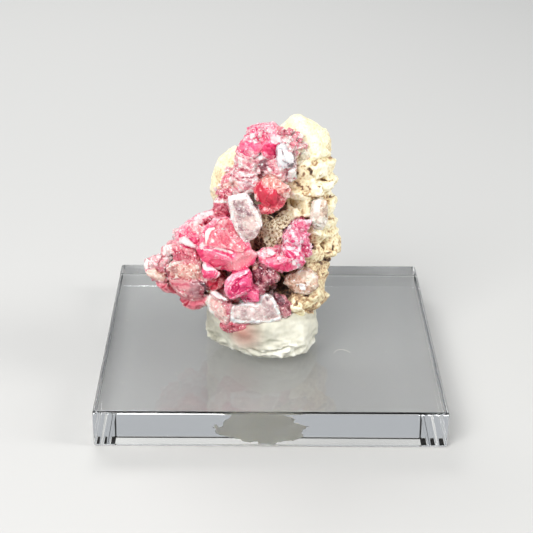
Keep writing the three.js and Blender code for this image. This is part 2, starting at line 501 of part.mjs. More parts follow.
/** The pad of tack: a squeezed ball with a flat underside on the slab. */
function tackSolid() {
  const profile = [[0, 0], ...TACK.profile].map(([radius, height]) => new THREE.Vector2(radius, height));
  const pad = new THREE.LatheGeometry(profile, TACK.sides).rotateX(Math.PI / 2)
    .translate(TACK.centre[0], TACK.centre[1], SLAB.height);
  const position = pad.getAttribute('position');
  for (let i = 0; i < position.count; i++) {
    const x = position.getX(i);
    const y = position.getY(i);
    const z = position.getZ(i);
    const height = z - SLAB.height;
    const press = TACK.crease * ripple(x, y, z) * Math.min(1, height);
    const out = new THREE.Vector2(x - TACK.centre[0], y - TACK.centre[1]).normalize();
    position.setXYZ(i, x + press * out.x, y + press * out.y, z);
  }
  return toSolid(pad);
}

/** The clear slab, with a fine polished bevel along every edge. */
function slabSolid() {
  const inner = SLAB.side / 2 - SLAB.bevel;
  const plan = new THREE.Shape([[-inner, -inner], [inner, -inner], [inner, inner], [-inner, inner]]
    .map(([x, y]) => new THREE.Vector2(x, y)));
  return toSolid(new THREE.ExtrudeGeometry(plan, {
    depth: SLAB.height - 2 * SLAB.bevel, bevelEnabled: true, bevelSegments: 1,
    bevelSize: SLAB.bevel, bevelThickness: SLAB.bevel,
  }).translate(0, 0, SLAB.bevel));
}

// ---- The whole object -------------------------------------------------------------------------

const specimen = new THREE.Group();
let grownBefore = null; // every cluster so far, moved out by GAP
for (const cluster of CLUSTERS) {
  const whole = clusterSolid(cluster, 0);
  const free = grownBefore ? largestBody(whole.subtract(grownBefore)) : largestBody(whole);
  specimen.add(toMesh(cluster.name, free, { color: cluster.color, roughness: 0.25, metalness: 0 }));
  const grown = clusterSolid(cluster, GAP);
  grownBefore = grownBefore ? grownBefore.add(grown) : grown;
}

const rock = largestBody(rockSolid(0).subtract(grownBefore));
specimen.add(toMesh('host_rock', rock, { color: STONE_COLORS.rock, roughness: 0.9, metalness: 0 }));

const tack = largestBody(tackSolid().subtract(grownBefore).subtract(rockSolid(GAP)));

const cobaltoanCalcite = new THREE.Group();
cobaltoanCalcite.add(
  specimen,
  toMesh('mineral_tack', tack, { color: STONE_COLORS.tack, roughness: 0.7, metalness: 0 }),
  toMesh('acrylic_slab', slabSolid(), {
    color: STONE_COLORS.slab, roughness: 0.05, metalness: 0, transparent: true, opacity: 0.35 }),
);

export default cobaltoanCalcite;
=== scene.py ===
"""Looks of a cobaltoan calcite specimen: crystals on dolomite, held with tack on an acrylic slab.

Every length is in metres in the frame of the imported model, and MM turns a size in millimetres into
it. Each crystal cluster, the rock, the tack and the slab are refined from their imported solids.
"""

import logging
import math
import random
from dataclasses import dataclass, field
from enum import Enum

import bpy
import numpy as np
from mathutils import Matrix, Vector, noise
from mathutils.bvhtree import BVHTree


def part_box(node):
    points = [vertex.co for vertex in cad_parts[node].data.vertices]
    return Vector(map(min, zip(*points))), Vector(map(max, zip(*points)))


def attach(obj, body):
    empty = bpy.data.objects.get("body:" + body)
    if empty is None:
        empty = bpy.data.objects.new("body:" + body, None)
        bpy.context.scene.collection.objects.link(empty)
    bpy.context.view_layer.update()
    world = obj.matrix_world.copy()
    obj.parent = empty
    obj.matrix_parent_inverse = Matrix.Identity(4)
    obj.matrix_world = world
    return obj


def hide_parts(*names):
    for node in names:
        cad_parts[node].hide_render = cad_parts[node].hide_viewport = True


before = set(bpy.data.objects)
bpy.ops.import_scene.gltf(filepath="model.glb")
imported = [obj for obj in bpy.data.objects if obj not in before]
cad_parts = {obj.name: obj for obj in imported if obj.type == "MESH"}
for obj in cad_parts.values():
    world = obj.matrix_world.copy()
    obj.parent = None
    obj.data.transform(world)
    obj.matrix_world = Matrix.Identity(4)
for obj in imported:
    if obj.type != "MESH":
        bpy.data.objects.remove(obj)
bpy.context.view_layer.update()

log = logging.getLogger("cobaltoan_calcite")

MM = 0.001
BODY = "root"
UP = Vector((0, 0, 1))
MERGE_WITHIN = 0.002  # millimetres: corners of a solid that lie closer are one corner


# ---- Small tools ------------------------------------------------------------------------------


def linear(hex_colour: str, alpha: float = 1.0) -> tuple[float, float, float, float]:
    """Turn an sRGB hex colour into linear light.

    Args:
        hex_colour: the colour as "#rrggbb".
        alpha: the opacity to carry along.

    Returns:
        Linear red, green, blue and alpha.
    """
    channels = [int(hex_colour[i:i + 2], 16) / 255 for i in (1, 3, 5)]
    red, green, blue = (c / 12.92 if c <= 0.04045 else ((c + 0.055) / 1.055) ** 2.4 for c in channels)
    return red, green, blue, alpha


def smoothstep(low: float, high: float, value: np.ndarray | float) -> np.ndarray | float:
    """Rise smoothly from 0 at low to 1 at high."""
    share = np.clip((value - low) / (high - low), 0, 1)
    return share * share * (3 - 2 * share)


def nearness(points: np.ndarray, centre: tuple, radius: float, edge: float = 0.5) -> np.ndarray:
    """Give 1 well inside a ball, 0 outside it, and a soft edge between.

    Args:
        points: where to look, in millimetres, one row each.
        centre: the ball's middle, in millimetres.
        radius: the ball's radius, in millimetres.
        edge: the share of the radius that the soft edge takes.

    Returns:
        The weight of each point, from 0 to 1.
    """
    away = np.linalg.norm(points - centre, axis=1) / radius
    return 1 - smoothstep(1 - edge, 1, away)


def noise_at(points: np.ndarray, size: float, offset: float = 0.0) -> np.ndarray:
    """Cloudy noise about 0 at each point, with features this many millimetres across."""
    scaled = points / size + offset
    return np.fromiter((noise.noise(place) for place in scaled.tolist()), float, len(points))


def grains_at(points: np.ndarray, size: float) -> np.ndarray:
    """Distance to the nearest of many scattered grains, in grain sizes, at each point."""
    scaled = points / size
    return np.fromiter((noise.voronoi(place)[0][0] for place in scaled.tolist()), float, len(points))


def mosaic_at(points: np.ndarray, size: float) -> tuple[np.ndarray, np.ndarray]:
    """Break a surface into small planes, each tilted its own way.

    Args:
        points: the points in millimetres.
        size: the distance between the planes' middles, in millimetres.

    Returns:
        The height of each point in plane sizes, and a number from -1 to 1 that its plane shares.
    """
    rows = []
    for place in (points / size).tolist():
        middle = noise.voronoi(place)[1][0]
        tilt = noise.cell_vector(middle * 97)
        rows.append(((Vector(place) - middle).dot(tilt), tilt.z))
    heights, shares = np.array(rows).T
    return heights, shares


def select_only(*objects: bpy.types.Object) -> None:
    """Select these objects alone and make the first one active."""
    bpy.ops.object.select_all(action="DESELECT")
    for one in objects:
        one.select_set(True)
    bpy.context.view_layer.objects.active = objects[0]


def finish_with(piece: bpy.types.Object, kind: str, **settings: object) -> None:
    """Add a modifier to a piece and apply it.

    Args:
        piece: the piece to finish.
        kind: Blender's name for the modifier.
        **settings: the modifier's own settings.
    """
    select_only(piece)
    modifier = piece.modifiers.new(kind.title(), kind)
    for name, value in settings.items():
        setattr(modifier, name, value)
    bpy.ops.object.modifier_apply(modifier=modifier.name)


def remesh(piece: bpy.types.Object, voxel: float) -> None:
    """Rebuild a piece's surface from even voxels of this many millimetres."""
    finish_with(piece, "REMESH", mode="VOXEL", voxel_size=voxel * MM, adaptivity=0.0)


def add_object(name: str, data: bpy.types.ID) -> bpy.types.Object:
    """Put new data into the scene as an object at the origin."""
    made = bpy.data.objects.new(name, data)
    bpy.context.scene.collection.objects.link(made)
    return made


def joined(name: str, pieces: list[bpy.types.Object]) -> bpy.types.Object:
    """Join pieces into the first of them and name it."""
    select_only(*pieces)
    bpy.ops.object.join()
    piece = bpy.context.object
    piece.name = piece.data.name = name
    return piece


def copy_of_solid(node: str, name: str) -> bpy.types.Object:
    """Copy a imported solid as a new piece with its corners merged.

    Args:
        node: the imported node.
        name: the new piece's name.

    Returns:
        The new piece, at the origin.
    """
    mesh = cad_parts[node].data.copy()
    mesh.materials.clear()
    piece = add_object(name, mesh)
    select_only(piece)
    bpy.ops.object.mode_set(mode="EDIT")
    bpy.ops.mesh.select_all(action="SELECT")
    bpy.ops.mesh.remove_doubles(threshold=MERGE_WITHIN * MM)
    bpy.ops.object.mode_set(mode="OBJECT")
    return piece


def rows_of(items: bpy.types.bpy_prop_collection, key: str) -> np.ndarray:
    """Read one vector of each item of a mesh, one row each."""
    flat = np.empty(len(items) * 3, np.float32)
    items.foreach_get(key, flat)
    return flat.reshape(-1, 3).astype(float)


def points_of(mesh: bpy.types.Mesh) -> np.ndarray:
    """Read a mesh's points in millimetres, one row each."""
    return rows_of(mesh.vertices, "co") / MM


def normals_of(mesh: bpy.types.Mesh) -> np.ndarray:
    """Read a mesh's point normals, one row each."""
    return rows_of(mesh.vertex_normals, "vector")


def move_points(mesh: bpy.types.Mesh, points: np.ndarray) -> None:
    """Write a mesh's points, given in millimetres."""
    mesh.vertices.foreach_set("co", (points * MM).astype(np.float32).ravel())
    mesh.update()


def blurred(values: np.ndarray, mesh: bpy.types.Mesh, rounds: int) -> np.ndarray:
    """Average each point's values with its neighbours'.

    Args:
        values: one row of values for each point.
        mesh: the mesh whose edges join neighbours.
        rounds: how many times to average.

    Returns:
        The smoothed rows.
    """
    edges = np.empty(len(mesh.edges) * 2, np.int64)
    mesh.edges.foreach_get("vertices", edges)
    ends = edges.reshape(-1, 2)
    count = len(values)
    degree = np.maximum(np.bincount(ends.ravel(), minlength=count), 1)
    result = values.copy()
    for _ in range(rounds):
        mean = np.stack([
            (np.bincount(ends[:, 0], weights=column[ends[:, 1]], minlength=count)
             + np.bincount(ends[:, 1], weights=column[ends[:, 0]], minlength=count)) / degree
            for column in result.T], axis=1)
        result = (result + mean) / 2
    return result


def store(mesh: bpy.types.Mesh, **values: np.ndarray | float) -> None:
    """Keep named numbers for the points of a mesh, for its material to read."""
    for name, numbers in values.items():
        layer = mesh.attributes.get(name) or mesh.attributes.new(name, "FLOAT", "POINT")
        layer.data.foreach_set("value", np.broadcast_to(numbers, len(mesh.vertices)).astype(np.float32))


def relief_of(mesh: bpy.types.Mesh, rounds: int, full: float) -> np.ndarray:
    """Tell how far each point stands out of its surroundings.

    Args:
        mesh: the finished mesh.
        rounds: how wide the surroundings are, in rings of neighbours.
        full: the height in millimetres that counts as 1.

    Returns:
        The height against the surroundings, from -1 to 1.
    """
    points = points_of(mesh)
    height = ((points - blurred(points, mesh, rounds)) * normals_of(mesh)).sum(axis=1)
    return np.clip(height / full, -1, 1)


def dress(piece: bpy.types.Object, node: str, material: bpy.types.Material) -> None:
    """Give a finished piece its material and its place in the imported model.

    Args:
        piece: the finished piece.
        node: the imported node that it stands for, or an empty name.
        material: its material.
    """
    piece.data.materials.clear()
    piece.data.materials.append(material)
    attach(piece, BODY)
    if node:
        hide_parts(node)
    log.info("%s: %d triangles", piece.name, sum(len(p.vertices) - 2 for p in piece.data.polygons))


# ---- The view, and facets drawn on it ---------------------------------------------------------


@dataclass(frozen=True)
class View:
    """The camera's place and turn, and the grid of steps across its frame."""

    eye: tuple[float, float, float] = (-2.32, -184.05, 98.59)  # millimetres
    yaw: float = 0.558  # degrees, towards +X
    pitch: float = 24.435  # degrees, downwards
    roll: float = 0.561  # degrees
    lens: float = 99.81  # millimetres
    sensor: float = 36.0  # millimetres
    steps: float = 533.0  # across the frame

    def axes(self) -> np.ndarray:
        """Give the unit vectors to the right, to the top and ahead."""
        yaw, pitch, roll = (math.radians(angle) for angle in (self.yaw, self.pitch, self.roll))
        ahead = np.array((math.sin(yaw) * math.cos(pitch), math.cos(yaw) * math.cos(pitch), -math.sin(pitch)))
        level = np.array((math.cos(yaw), -math.sin(yaw), 0))
        upright = np.cross(level, ahead)
        right = math.cos(roll) * level + math.sin(roll) * upright
        return np.array((right, math.cos(roll) * upright - math.sin(roll) * level, ahead))

    def place(self, points: np.ndarray) -> np.ndarray:
        """Tell where points appear, in steps across and steps down."""
        across, up, depth = ((points - self.eye) @ self.axes().T).T
        scale = self.lens / self.sensor * self.steps / depth
        return np.stack((self.steps / 2 + across * scale, self.steps / 2 - up * scale), axis=1)

    def towards(self, points: np.ndarray) -> np.ndarray:
        """Give the unit vectors from points to the eye."""
        away = self.eye - points
        return away / np.linalg.norm(away, axis=1, keepdims=True)


VIEW = View()


@dataclass(frozen=True)
class Facet:
    """A part of a surface, outlined on the view's grid, with its own height, tilt and finish; among them are painted
    glints, highlights and shade.
    """

    outline: str  # corners as "across,down", in steps
    tone: float = 0.0  # paler above 0, deeper below
    lift: float = 0.0  # millimetres towards the eye
    tilt: tuple[float, float] = (0.0, 0.0)  # millimetres of lift per millimetre across and down
    cream: float = 0.0  # share of cream in its colour
    smoke: float = 0.0  # share of dark grey in its colour, for smoky calcite and for painted shade in recesses
    clean: float = 0.0  # how free it is of mottling
    edge: float = 0.6  # steps over which it fades in

    def corners(self) -> np.ndarray:
        """Read the outline, one corner in a row."""
        return np.array([corner.split(",") for corner in self.outline.split()], float)

    def weight(self, places: np.ndarray) -> np.ndarray:
        """Tell how far inside the outline each place lies, from 0 to 1."""
        corners = self.corners()
        inside = np.zeros(len(places), bool)
        nearest = np.full(len(places), np.inf)
        for start, end in zip(corners, np.roll(corners, -1, axis=0)):
            side = end - start
            share = np.clip((places - start) @ side / (side @ side), 0, 1)
            nearest = np.minimum(nearest, np.linalg.norm(places - start - share[:, None] * side, axis=1))
            crosses = (start[1] > places[:, 1]) != (end[1] > places[:, 1])
            rise = side[1] if side[1] else 1e-9
            inside ^= crosses & (places[:, 0] < start[0] + (places[:, 1] - start[1]) * side[0] / rise)
        return smoothstep(-self.edge, self.edge, np.where(inside, nearest, -nearest))


@dataclass
class Carving:
    """What the facets drawn on a piece do to its points."""

    facets: tuple[Facet, ...]
    ragged: float = 0.4  # how far the outlines wander, in steps
    wander: float = 0.8  # length of their waves, in millimetres
    glancing: float = 0.25  # cosine at which a surface takes the whole facet
    margin: float = 2.0  # steps around the piece within which a facet still reaches it
    steps_per_mm: float = 7.6

    def apply(self, points: np.ndarray, normals: np.ndarray) -> tuple[np.ndarray, dict[str, np.ndarray]]:
        """Move points and collect their tones.

        Args:
            points: the piece's points in millimetres.
            normals: their normals.

        Returns:
            The moved points, and the tone, cream, dark grey share (smoky calcite and painted shade) and cleanness of
            each.
        """
        towards = VIEW.towards(points)
        wander = np.stack((noise_at(points, self.wander), noise_at(points, self.wander, 30.0)), axis=1)
        places = VIEW.place(points) + wander * self.ragged * 2
        faces_eye = smoothstep(0.0, self.glancing, (normals * towards).sum(axis=1))
        lift = np.zeros(len(points))
        marks = {name: np.zeros(len(points)) for name in ("tone", "cream", "smoke", "clean")}
        low, high = places.min(axis=0) - self.margin, places.max(axis=0) + self.margin
        for facet in self.facets:
            corners = facet.corners()
            if (corners.max(axis=0) < low).any() or (corners.min(axis=0) > high).any():
                continue
            weight = facet.weight(places) * faces_eye
            middle = corners.mean(axis=0)
            slope = (places - middle) / self.steps_per_mm @ facet.tilt
            lift += weight * (facet.lift + slope)
            for name in marks:
                marks[name] += weight * getattr(facet, name)
        for name in ("cream", "smoke", "clean"):
            marks[name] = np.clip(marks[name], 0, 1)
        return points + towards * lift[:, None], marks

    def mark(self, crystals: list[bpy.types.Object], shift: float = 0.0) -> None:
        """Give small crystals the marks of the places where they stand.

        Args:
            crystals: the crystals, each with its own tone.
            shift: what to add to every tone.
        """
        middles = np.array([points_of(crystal.data).mean(axis=0) for crystal in crystals]).reshape(-1, 3)
        moved, marks = self.apply(middles, VIEW.towards(middles)) if crystals else (middles, {})
        for index, crystal in enumerate(crystals):
            own = crystal.data.attributes["tone"].data[0].value
            move_points(crystal.data, points_of(crystal.data) + moved[index] - middles[index])
            store(crystal.data, **{name: values[index] + (own + shift if name == "tone" else 0)
                                   for name, values in marks.items()})


# ---- Materials --------------------------------------------------------------------------------


def add_node(tree: bpy.types.NodeTree, kind: str, inputs: dict | None = None, out: int | str = 0,
             stops: tuple[tuple[float, str], ...] = (), **settings: object) -> bpy.types.NodeSocket:
    """Add a node, set it up and link it.

    Args:
        tree: the material's tree.
        kind: the node's type, without its ShaderNode prefix.
        inputs: a value or an output socket for each named or numbered input.
        out: the output to give back.
        stops: places and sRGB hex colours of a colour ramp, in rising order.
        **settings: the node's own settings.

    Returns:
        The chosen output of the new node.
    """
    node = tree.nodes.new("ShaderNode" + kind)
    for name, value in settings.items():
        setattr(node, name, value)
    for name, value in (inputs or {}).items():
        if isinstance(value, bpy.types.NodeSocket):
            tree.links.new(value, node.inputs[name])
        else:
            node.inputs[name].default_value = value
    if stops:
        elements = node.color_ramp.elements
        elements.remove(elements[1])
        for index, (place, colour) in enumerate(stops):
            element = elements.new(place) if index else elements[0]
            element.position, element.color = place, linear(colour)
    return node.outputs[out]


def per_mm(pattern_size: float) -> float:
    """Texture scale for a pattern whose features are this many millimetres apart."""
    return 1 / (pattern_size * MM)


@dataclass(frozen=True)
class Substance:
    """What a piece is made of. Each kind builds the shader that gives its looks."""

    name: str

    def material(self) -> bpy.types.Material:
        """Build the material."""
        material = bpy.data.materials.new(self.name)
        material.use_nodes = True
        tree = material.node_tree
        tree.nodes.clear()
        surface = tree.nodes.new("ShaderNodeOutputMaterial").inputs["Surface"]
        tree.links.new(self.shader(tree), surface)
        return material

    def shader(self, tree: bpy.types.NodeTree) -> bpy.types.NodeSocket:
        """Build the shader and give its output."""
        raise NotImplementedError


# From deep to pale: calcite that iron has tinted, and dark grey calcite: smoky crystals, and painted shade where
# calcite lies over a dark hollow.
CREAM_STOPS = ((0.1, "#8f6a52"), (0.45, "#d9ab8c"), (0.75, "#efd9bd"), (1.0, "#fff6e6"))
SMOKE_AND_SHADE_STOPS = ((0.1, "#241a1e"), (0.45, "#5d4650"), (0.75, "#a08a92"), (1.0, "#f2ecf0"))


@dataclass(frozen=True)
class Calcite(Substance):
    """Cobaltoan calcite: a glassy carbonate, pink from cobalt, cloudy with cleavage cracks.

    Its colour goes from the deep body colour, where light travels far, to snow, where fine cracks
    and etched crumbs scatter it. Edges are painted paler and hollows deeper, frosted upward faces are
    painted paler as light from above, and the single specks are painted glints as well as crumbs.
    """

    deep: str
    body: str
    haze: str
    snow: str
    frosting_and_top_light: float = 0.5  # how much of an upward face is frosted and painted paler, as light from above
    clarity: float = 0.16  # share of light that passes rather than scatters
    cloud: float = 1.3  # millimetres between cloudy patches
    cloudiness: float = 0.75  # how much the patches differ
    grain: float = 0.2  # millimetres between crumbs
    flake: float = 0.4  # millimetres between small cleavage planes
    lean: float = 0.8  # how far those planes lean
    crack: float = 2.2  # millimetres between cleavage cracks
    grit: float = 0.04  # depth of the etching, in millimetres
    glow: float = 0.7  # millimetres that light spreads below the surface
    roughness: float = 0.1
    ior: float = 1.6

    def shader(self, tree: bpy.types.NodeTree) -> bpy.types.NodeSocket:
        """Build the shader."""
        where = add_node(tree, "TexCoord", out="Object")
        relief, tone, cream, smoke, clean = (add_node(tree, "Attribute", attribute_name=name, out="Fac")
                                             for name in ("relief", "tone", "cream", "smoke", "clean"))
        rugged = add_node(tree, "MapRange", {0: clean, 3: 1.0, 4: 0.2})
        cloud = add_node(tree, "TexNoise", {"Vector": where, "Scale": per_mm(self.cloud), "Detail": 4.0,
                                            "Roughness": 0.62, "Distortion": 0.8})
        crumb = add_node(tree, "TexNoise", {"Vector": where, "Scale": per_mm(self.grain), "Detail": 3.0,
                                            "Roughness": 0.7})
        flake = add_node(tree, "TexVoronoi", {"Vector": where, "Scale": per_mm(self.flake)}, out="Distance")
        draw = add_node(tree, "SeparateColor", {0: flake.node.outputs["Color"]})
        lean = add_node(tree, "VectorMath", {0: flake.node.outputs["Color"], 1: (0.5, 0.5, 0.5)},
                        out="Vector", operation="SUBTRACT")
        across = add_node(tree, "VectorMath", {0: where, 1: flake.node.outputs["Position"]},
                          out="Vector", operation="SUBTRACT")
        plane = add_node(tree, "VectorMath", {0: across, 1: lean}, out="Value", operation="DOT_PRODUCT")
        crack = add_node(tree, "TexWave", {"Vector": where, "Scale": per_mm(self.crack), "Distortion": 7.0,
                                           "Detail": 3.0, "Detail Scale": 1.6},
                         out="Fac", wave_type="BANDS", bands_direction="DIAGONAL")
        # Upward faces: frosted, so rougher, and painted paler as light from above.
        upward = add_node(tree, "SeparateXYZ", {0: add_node(tree, "NewGeometry", out="Normal")}, out="Z")
        ragged = add_node(tree, "Math", {0: upward, 1: cloud}, operation="ADD")
        frost_and_top_light = add_node(tree, "MapRange", {0: ragged, 1: 1.35 - self.frosting_and_top_light, 2: 1.85 - self.frosting_and_top_light})
        frost_and_top_light = add_node(tree, "Math", {0: frost_and_top_light, 1: rugged}, operation="MULTIPLY")
        # Specks: snow-white crumbs that also stand in as painted glints.
        crumb_and_glint_specks = add_node(tree, "Math", {
            0: add_node(tree, "MapRange", {0: flake, 1: 0.32, 2: 0.18}),
            1: add_node(tree, "MapRange", {0: draw, 1: 0.6, 2: 0.7})}, operation="MULTIPLY")
        lines = add_node(tree, "MapRange", {0: crack, 1: 0.05, 2: 0.0})
        mottle = add_node(tree, "Math", {0: cloud, 1: self.cloudiness, 2: -0.61 - self.cloudiness / 2},
                          operation="MULTIPLY_ADD")
        for value, weight in ((crumb, 0.9), (draw.node.outputs["Green"], 0.26), (frost_and_top_light, 0.1), (crumb_and_glint_specks, 0.6),
                              (lines, 0.2)):
            mottle = add_node(tree, "Math", {0: value, 1: weight, 2: mottle}, operation="MULTIPLY_ADD")
        paleness = add_node(tree, "Math", {0: mottle, 1: rugged, 2: tone}, operation="MULTIPLY_ADD")
        # The relief attribute paints convex edges paler and hollows deeper: painted highlight on edges, painted
        # shade in hollows.
        paleness = add_node(tree, "Math", {0: relief, 1: 0.26, 2: paleness}, operation="MULTIPLY_ADD")
        pink = add_node(tree, "ValToRGB", {0: paleness}, stops=(
            (0.1, self.deep), (0.42, self.body), (0.7, self.haze), (0.98, self.snow)))
        creamy, smoky_and_shaded = (add_node(tree, "ValToRGB", {0: paleness}, stops=stops)
                         for stops in (CREAM_STOPS, SMOKE_AND_SHADE_STOPS))
        body = add_node(tree, "Mix", {0: cream, 6: pink, 7: creamy}, out=2, data_type="RGBA")
        # The dark grey share is smoky calcite, and painted shade in recesses and gaps.
        body = add_node(tree, "Mix", {0: smoke, 6: body, 7: smoky_and_shaded}, out=2, data_type="RGBA")
        rough = add_node(tree, "MapRange", {0: frost_and_top_light, 3: self.roughness, 4: self.roughness + 0.26})
        grit = add_node(tree, "Bump", {"Strength": rugged, "Distance": self.grit * MM, "Height": crumb})
        facets = add_node(tree, "Bump", {"Strength": rugged, "Distance": self.lean, "Height": plane,
                                         "Normal": grit})
        return add_node(tree, "BsdfPrincipled", {
            "Base Color": body, "Roughness": rough, "Normal": facets, "IOR": self.ior,
            "Transmission Weight": self.clarity, "Subsurface Weight": 0.3,
            "Subsurface Radius": (1.0, 0.35, 0.4), "Subsurface Scale": self.glow * MM})


@dataclass(frozen=True)
class Dolomite(Substance):
    """Dolomite rock: a cream, sugary carbonate, rust-brown where iron and manganese oxides soaked in.

    Its grains catch the light like coarse sugar, and brown oxide films fill the pits between them.
    """

    name: str = "dolomite_rock"
    chalk: str = "#fff8e2"
    cream: str = "#efe3b9"
    ochre: str = "#c9a57e"
    brown: str = "#80614c"
    soot_and_shade: str = "#3a2d25"
    blush: str = "#cf7f86"
    shadow: str = "#6a5048"
    patch: float = 2.2  # millimetres between stained patches
    sugar: float = 0.3  # millimetres between the finest grains
    grain: float = 0.5  # millimetres between the coarse grains
    roughness: float = 0.68

    def shader(self, tree: bpy.types.NodeTree) -> bpy.types.NodeSocket:
        """Build the shader."""
        where = add_node(tree, "TexCoord", out="Object")
        relief, tone, smoke, blush, coarse = (add_node(tree, "Attribute", attribute_name=name, out="Fac")
                                              for name in ("relief", "tone", "smoke", "blush", "coarse"))
        patch = add_node(tree, "TexNoise", {"Vector": where, "Scale": per_mm(self.patch), "Detail": 5.0,
                                            "Roughness": 0.65})
        sugar = add_node(tree, "TexNoise", {"Vector": where, "Scale": per_mm(self.sugar), "Detail": 4.0,
                                            "Roughness": 0.72})
        grain = add_node(tree, "TexVoronoi", {"Vector": where, "Scale": per_mm(self.grain)}, out="Distance")
        pits = add_node(tree, "Math", {
            0: add_node(tree, "MapRange", {0: grain, 1: 0.26, 2: 0.1}),
            1: add_node(tree, "MapRange", {0: patch, 1: 0.46, 2: 0.62})}, operation="MULTIPLY")
        speckle = add_node(tree, "Math", {0: add_node(tree, "Math", {0: sugar, 1: -0.5}, operation="ADD"),
                                          1: coarse}, operation="MULTIPLY")
        paleness = add_node(tree, "Math", {0: tone, 1: -0.72}, operation="ADD")
        # The relief attribute paints bumps paler and hollows darker: painted highlight and painted shade.
        for value, weight in ((patch, 0.7), (sugar, 0.75), (speckle, 2.8), (relief, 0.34), (pits, -0.3)):
            paleness = add_node(tree, "Math", {0: value, 1: weight, 2: paleness}, operation="MULTIPLY_ADD")
        # The darkest stops are reached in pits, as oxide, and in recesses and hollows, as painted shade.
        body = add_node(tree, "ValToRGB", {0: paleness}, stops=(
            (0.0, self.soot_and_shade), (0.2, self.brown), (0.4, self.ochre), (0.6, self.cream), (0.9, self.chalk)))
        # The dark grey share multiplies in the shadow colour: painted shade in recesses, and brown in the grainy
        # patch.
        for share, colour in ((blush, self.blush), (smoke, self.shadow)):
            body = add_node(tree, "Mix", {0: share, 6: body, 7: linear(colour)}, out=2, data_type="RGBA",
                            blend_type="MULTIPLY")
        grit = add_node(tree, "Bump", {"Strength": 0.7, "Distance": 0.1 * MM, "Height": sugar})
        pitted = add_node(tree, "Bump", {"Strength": 0.5, "Distance": 0.15 * MM, "Height": grain, "Normal": grit})
        return add_node(tree, "BsdfPrincipled", {
            "Base Color": body, "Roughness": self.roughness, "Normal": pitted, "IOR": 1.5,
            "Subsurface Weight": 0.1, "Subsurface Radius": (1.0, 0.8, 0.5), "Subsurface Scale": 0.4 * MM})


@dataclass(frozen=True)
class Tack(Substance):
    """Mineral tack: a white, slightly greenish putty pressed by hand, dull with a faint oily gleam."""

    name: str = "mineral_tack"
    highlight: str = "#f0eee2"
    putty: str = "#d9d6c5"
    shadow: str = "#a5a391"
    pink_reflection: str = "#e27d76"
    smear: float = 3.2  # millimetres between paler and duller patches
    pores: float = 0.4  # millimetres between pores

    def shader(self, tree: bpy.types.NodeTree) -> bpy.types.NodeSocket:
        """Build the shader."""
        where = add_node(tree, "TexCoord", out="Object")
        relief, tone, pink_reflection = (add_node(tree, "Attribute", attribute_name=name, out="Fac")
                               for name in ("relief", "tone", "blush"))
        smear = add_node(tree, "TexNoise", {"Vector": where, "Scale": per_mm(self.smear), "Detail": 3.0})
        pores = add_node(tree, "TexNoise", {"Vector": where, "Scale": per_mm(self.pores), "Detail": 4.0,
                                            "Roughness": 0.65})
        paleness = add_node(tree, "Math", {0: tone, 1: -0.45}, operation="ADD")
        # The relief attribute paints bumps paler and creases darker: painted highlight and painted shade.
        for value, weight in ((smear, 0.7), (pores, 0.2), (relief, 0.35)):
            paleness = add_node(tree, "Math", {0: value, 1: weight, 2: paleness}, operation="MULTIPLY_ADD")
        body = add_node(tree, "ValToRGB", {0: paleness}, stops=(
            (0.1, self.shadow), (0.55, self.putty), (0.95, self.highlight)))
        # The pink mix is a painted reflection of the pink crystals above the pad.
        body = add_node(tree, "Mix", {0: pink_reflection, 6: body, 7: linear(self.pink_reflection)}, out=2, data_type="RGBA",
                        blend_type="MULTIPLY")
        bumps = add_node(tree, "Bump", {"Strength": 0.3, "Distance": 0.06 * MM, "Height": pores})
        return add_node(tree, "BsdfPrincipled", {
            "Base Color": body, "Roughness": 0.5, "Normal": bumps, "IOR": 1.5,
            "Subsurface Weight": 0.25, "Subsurface Radius": (1.0, 0.9, 0.7), "Subsurface Scale": 0.8 * MM})


@dataclass(frozen=True)
class Acrylic(Substance):
    """Cast acrylic sheet: water clear, sawn and diamond-polished, with hairline wipe scratches."""

    name: str = "clear_acrylic"
    tint: str = "#fdfefe"
    scratches: float = 9.0  # millimetres between them
    drawn_out: float = 16.0  # how many times longer than wide they are
    angle: float = -4.0  # degrees
    ior: float = 1.49

    def shader(self, tree: bpy.types.NodeTree) -> bpy.types.NodeSocket:
        """Build the shader."""
        where = add_node(tree, "TexCoord", out="Object")
        along = add_node(tree, "Mapping", {"Vector": where, "Rotation": (0, 0, math.radians(self.angle)),
                                           "Scale": (1, self.drawn_out, 1)})
        wipes = add_node(tree, "TexNoise", {"Vector": along, "Scale": per_mm(self.scratches), "Detail": 6.0,
                                            "Roughness": 0.8})
        rough = add_node(tree, "MapRange", {0: wipes, 1: 0.6, 2: 0.8, 3: 0.0, 4: 0.06})
        return add_node(tree, "BsdfPrincipled", {
            "Base Color": linear(self.tint), "Roughness": rough, "IOR": self.ior, "Transmission Weight": 1.0})


@dataclass(frozen=True)
class Dust(Substance):
    """Household dust: pale dry crumbs and fibres that settle on polished plastic."""

    name: str = "settled_dust"
    dull: str = "#b9b6ae"
    pale: str = "#e6e4de"
    mottle: float = 2.0  # millimetres between paler and duller crumbs

    def shader(self, tree: bpy.types.NodeTree) -> bpy.types.NodeSocket:
        """Build the shader."""
        where = add_node(tree, "TexCoord", out="Object")
        mottle = add_node(tree, "TexNoise", {"Vector": where, "Scale": per_mm(self.mottle)})
        body = add_node(tree, "ValToRGB", {0: mottle}, stops=((0.3, self.dull), (0.7, self.pale)))
        return add_node(tree, "BsdfPrincipled", {"Base Color": body, "Roughness": 0.9})


@dataclass(frozen=True)
class Linoleum(Substance):
    """Pale linoleum for the floor: matt and even, so that it gives the eye nothing to rest on."""

    name: str = "pale_floor"
    colour: str = "#bfbebb"
    roughness: float = 0.65

    def shader(self, tree: bpy.types.NodeTree) -> bpy.types.NodeSocket:
        """Build the shader."""
        return add_node(tree, "BsdfPrincipled", {"Base Color": linear(self.colour), "Roughness": self.roughness})


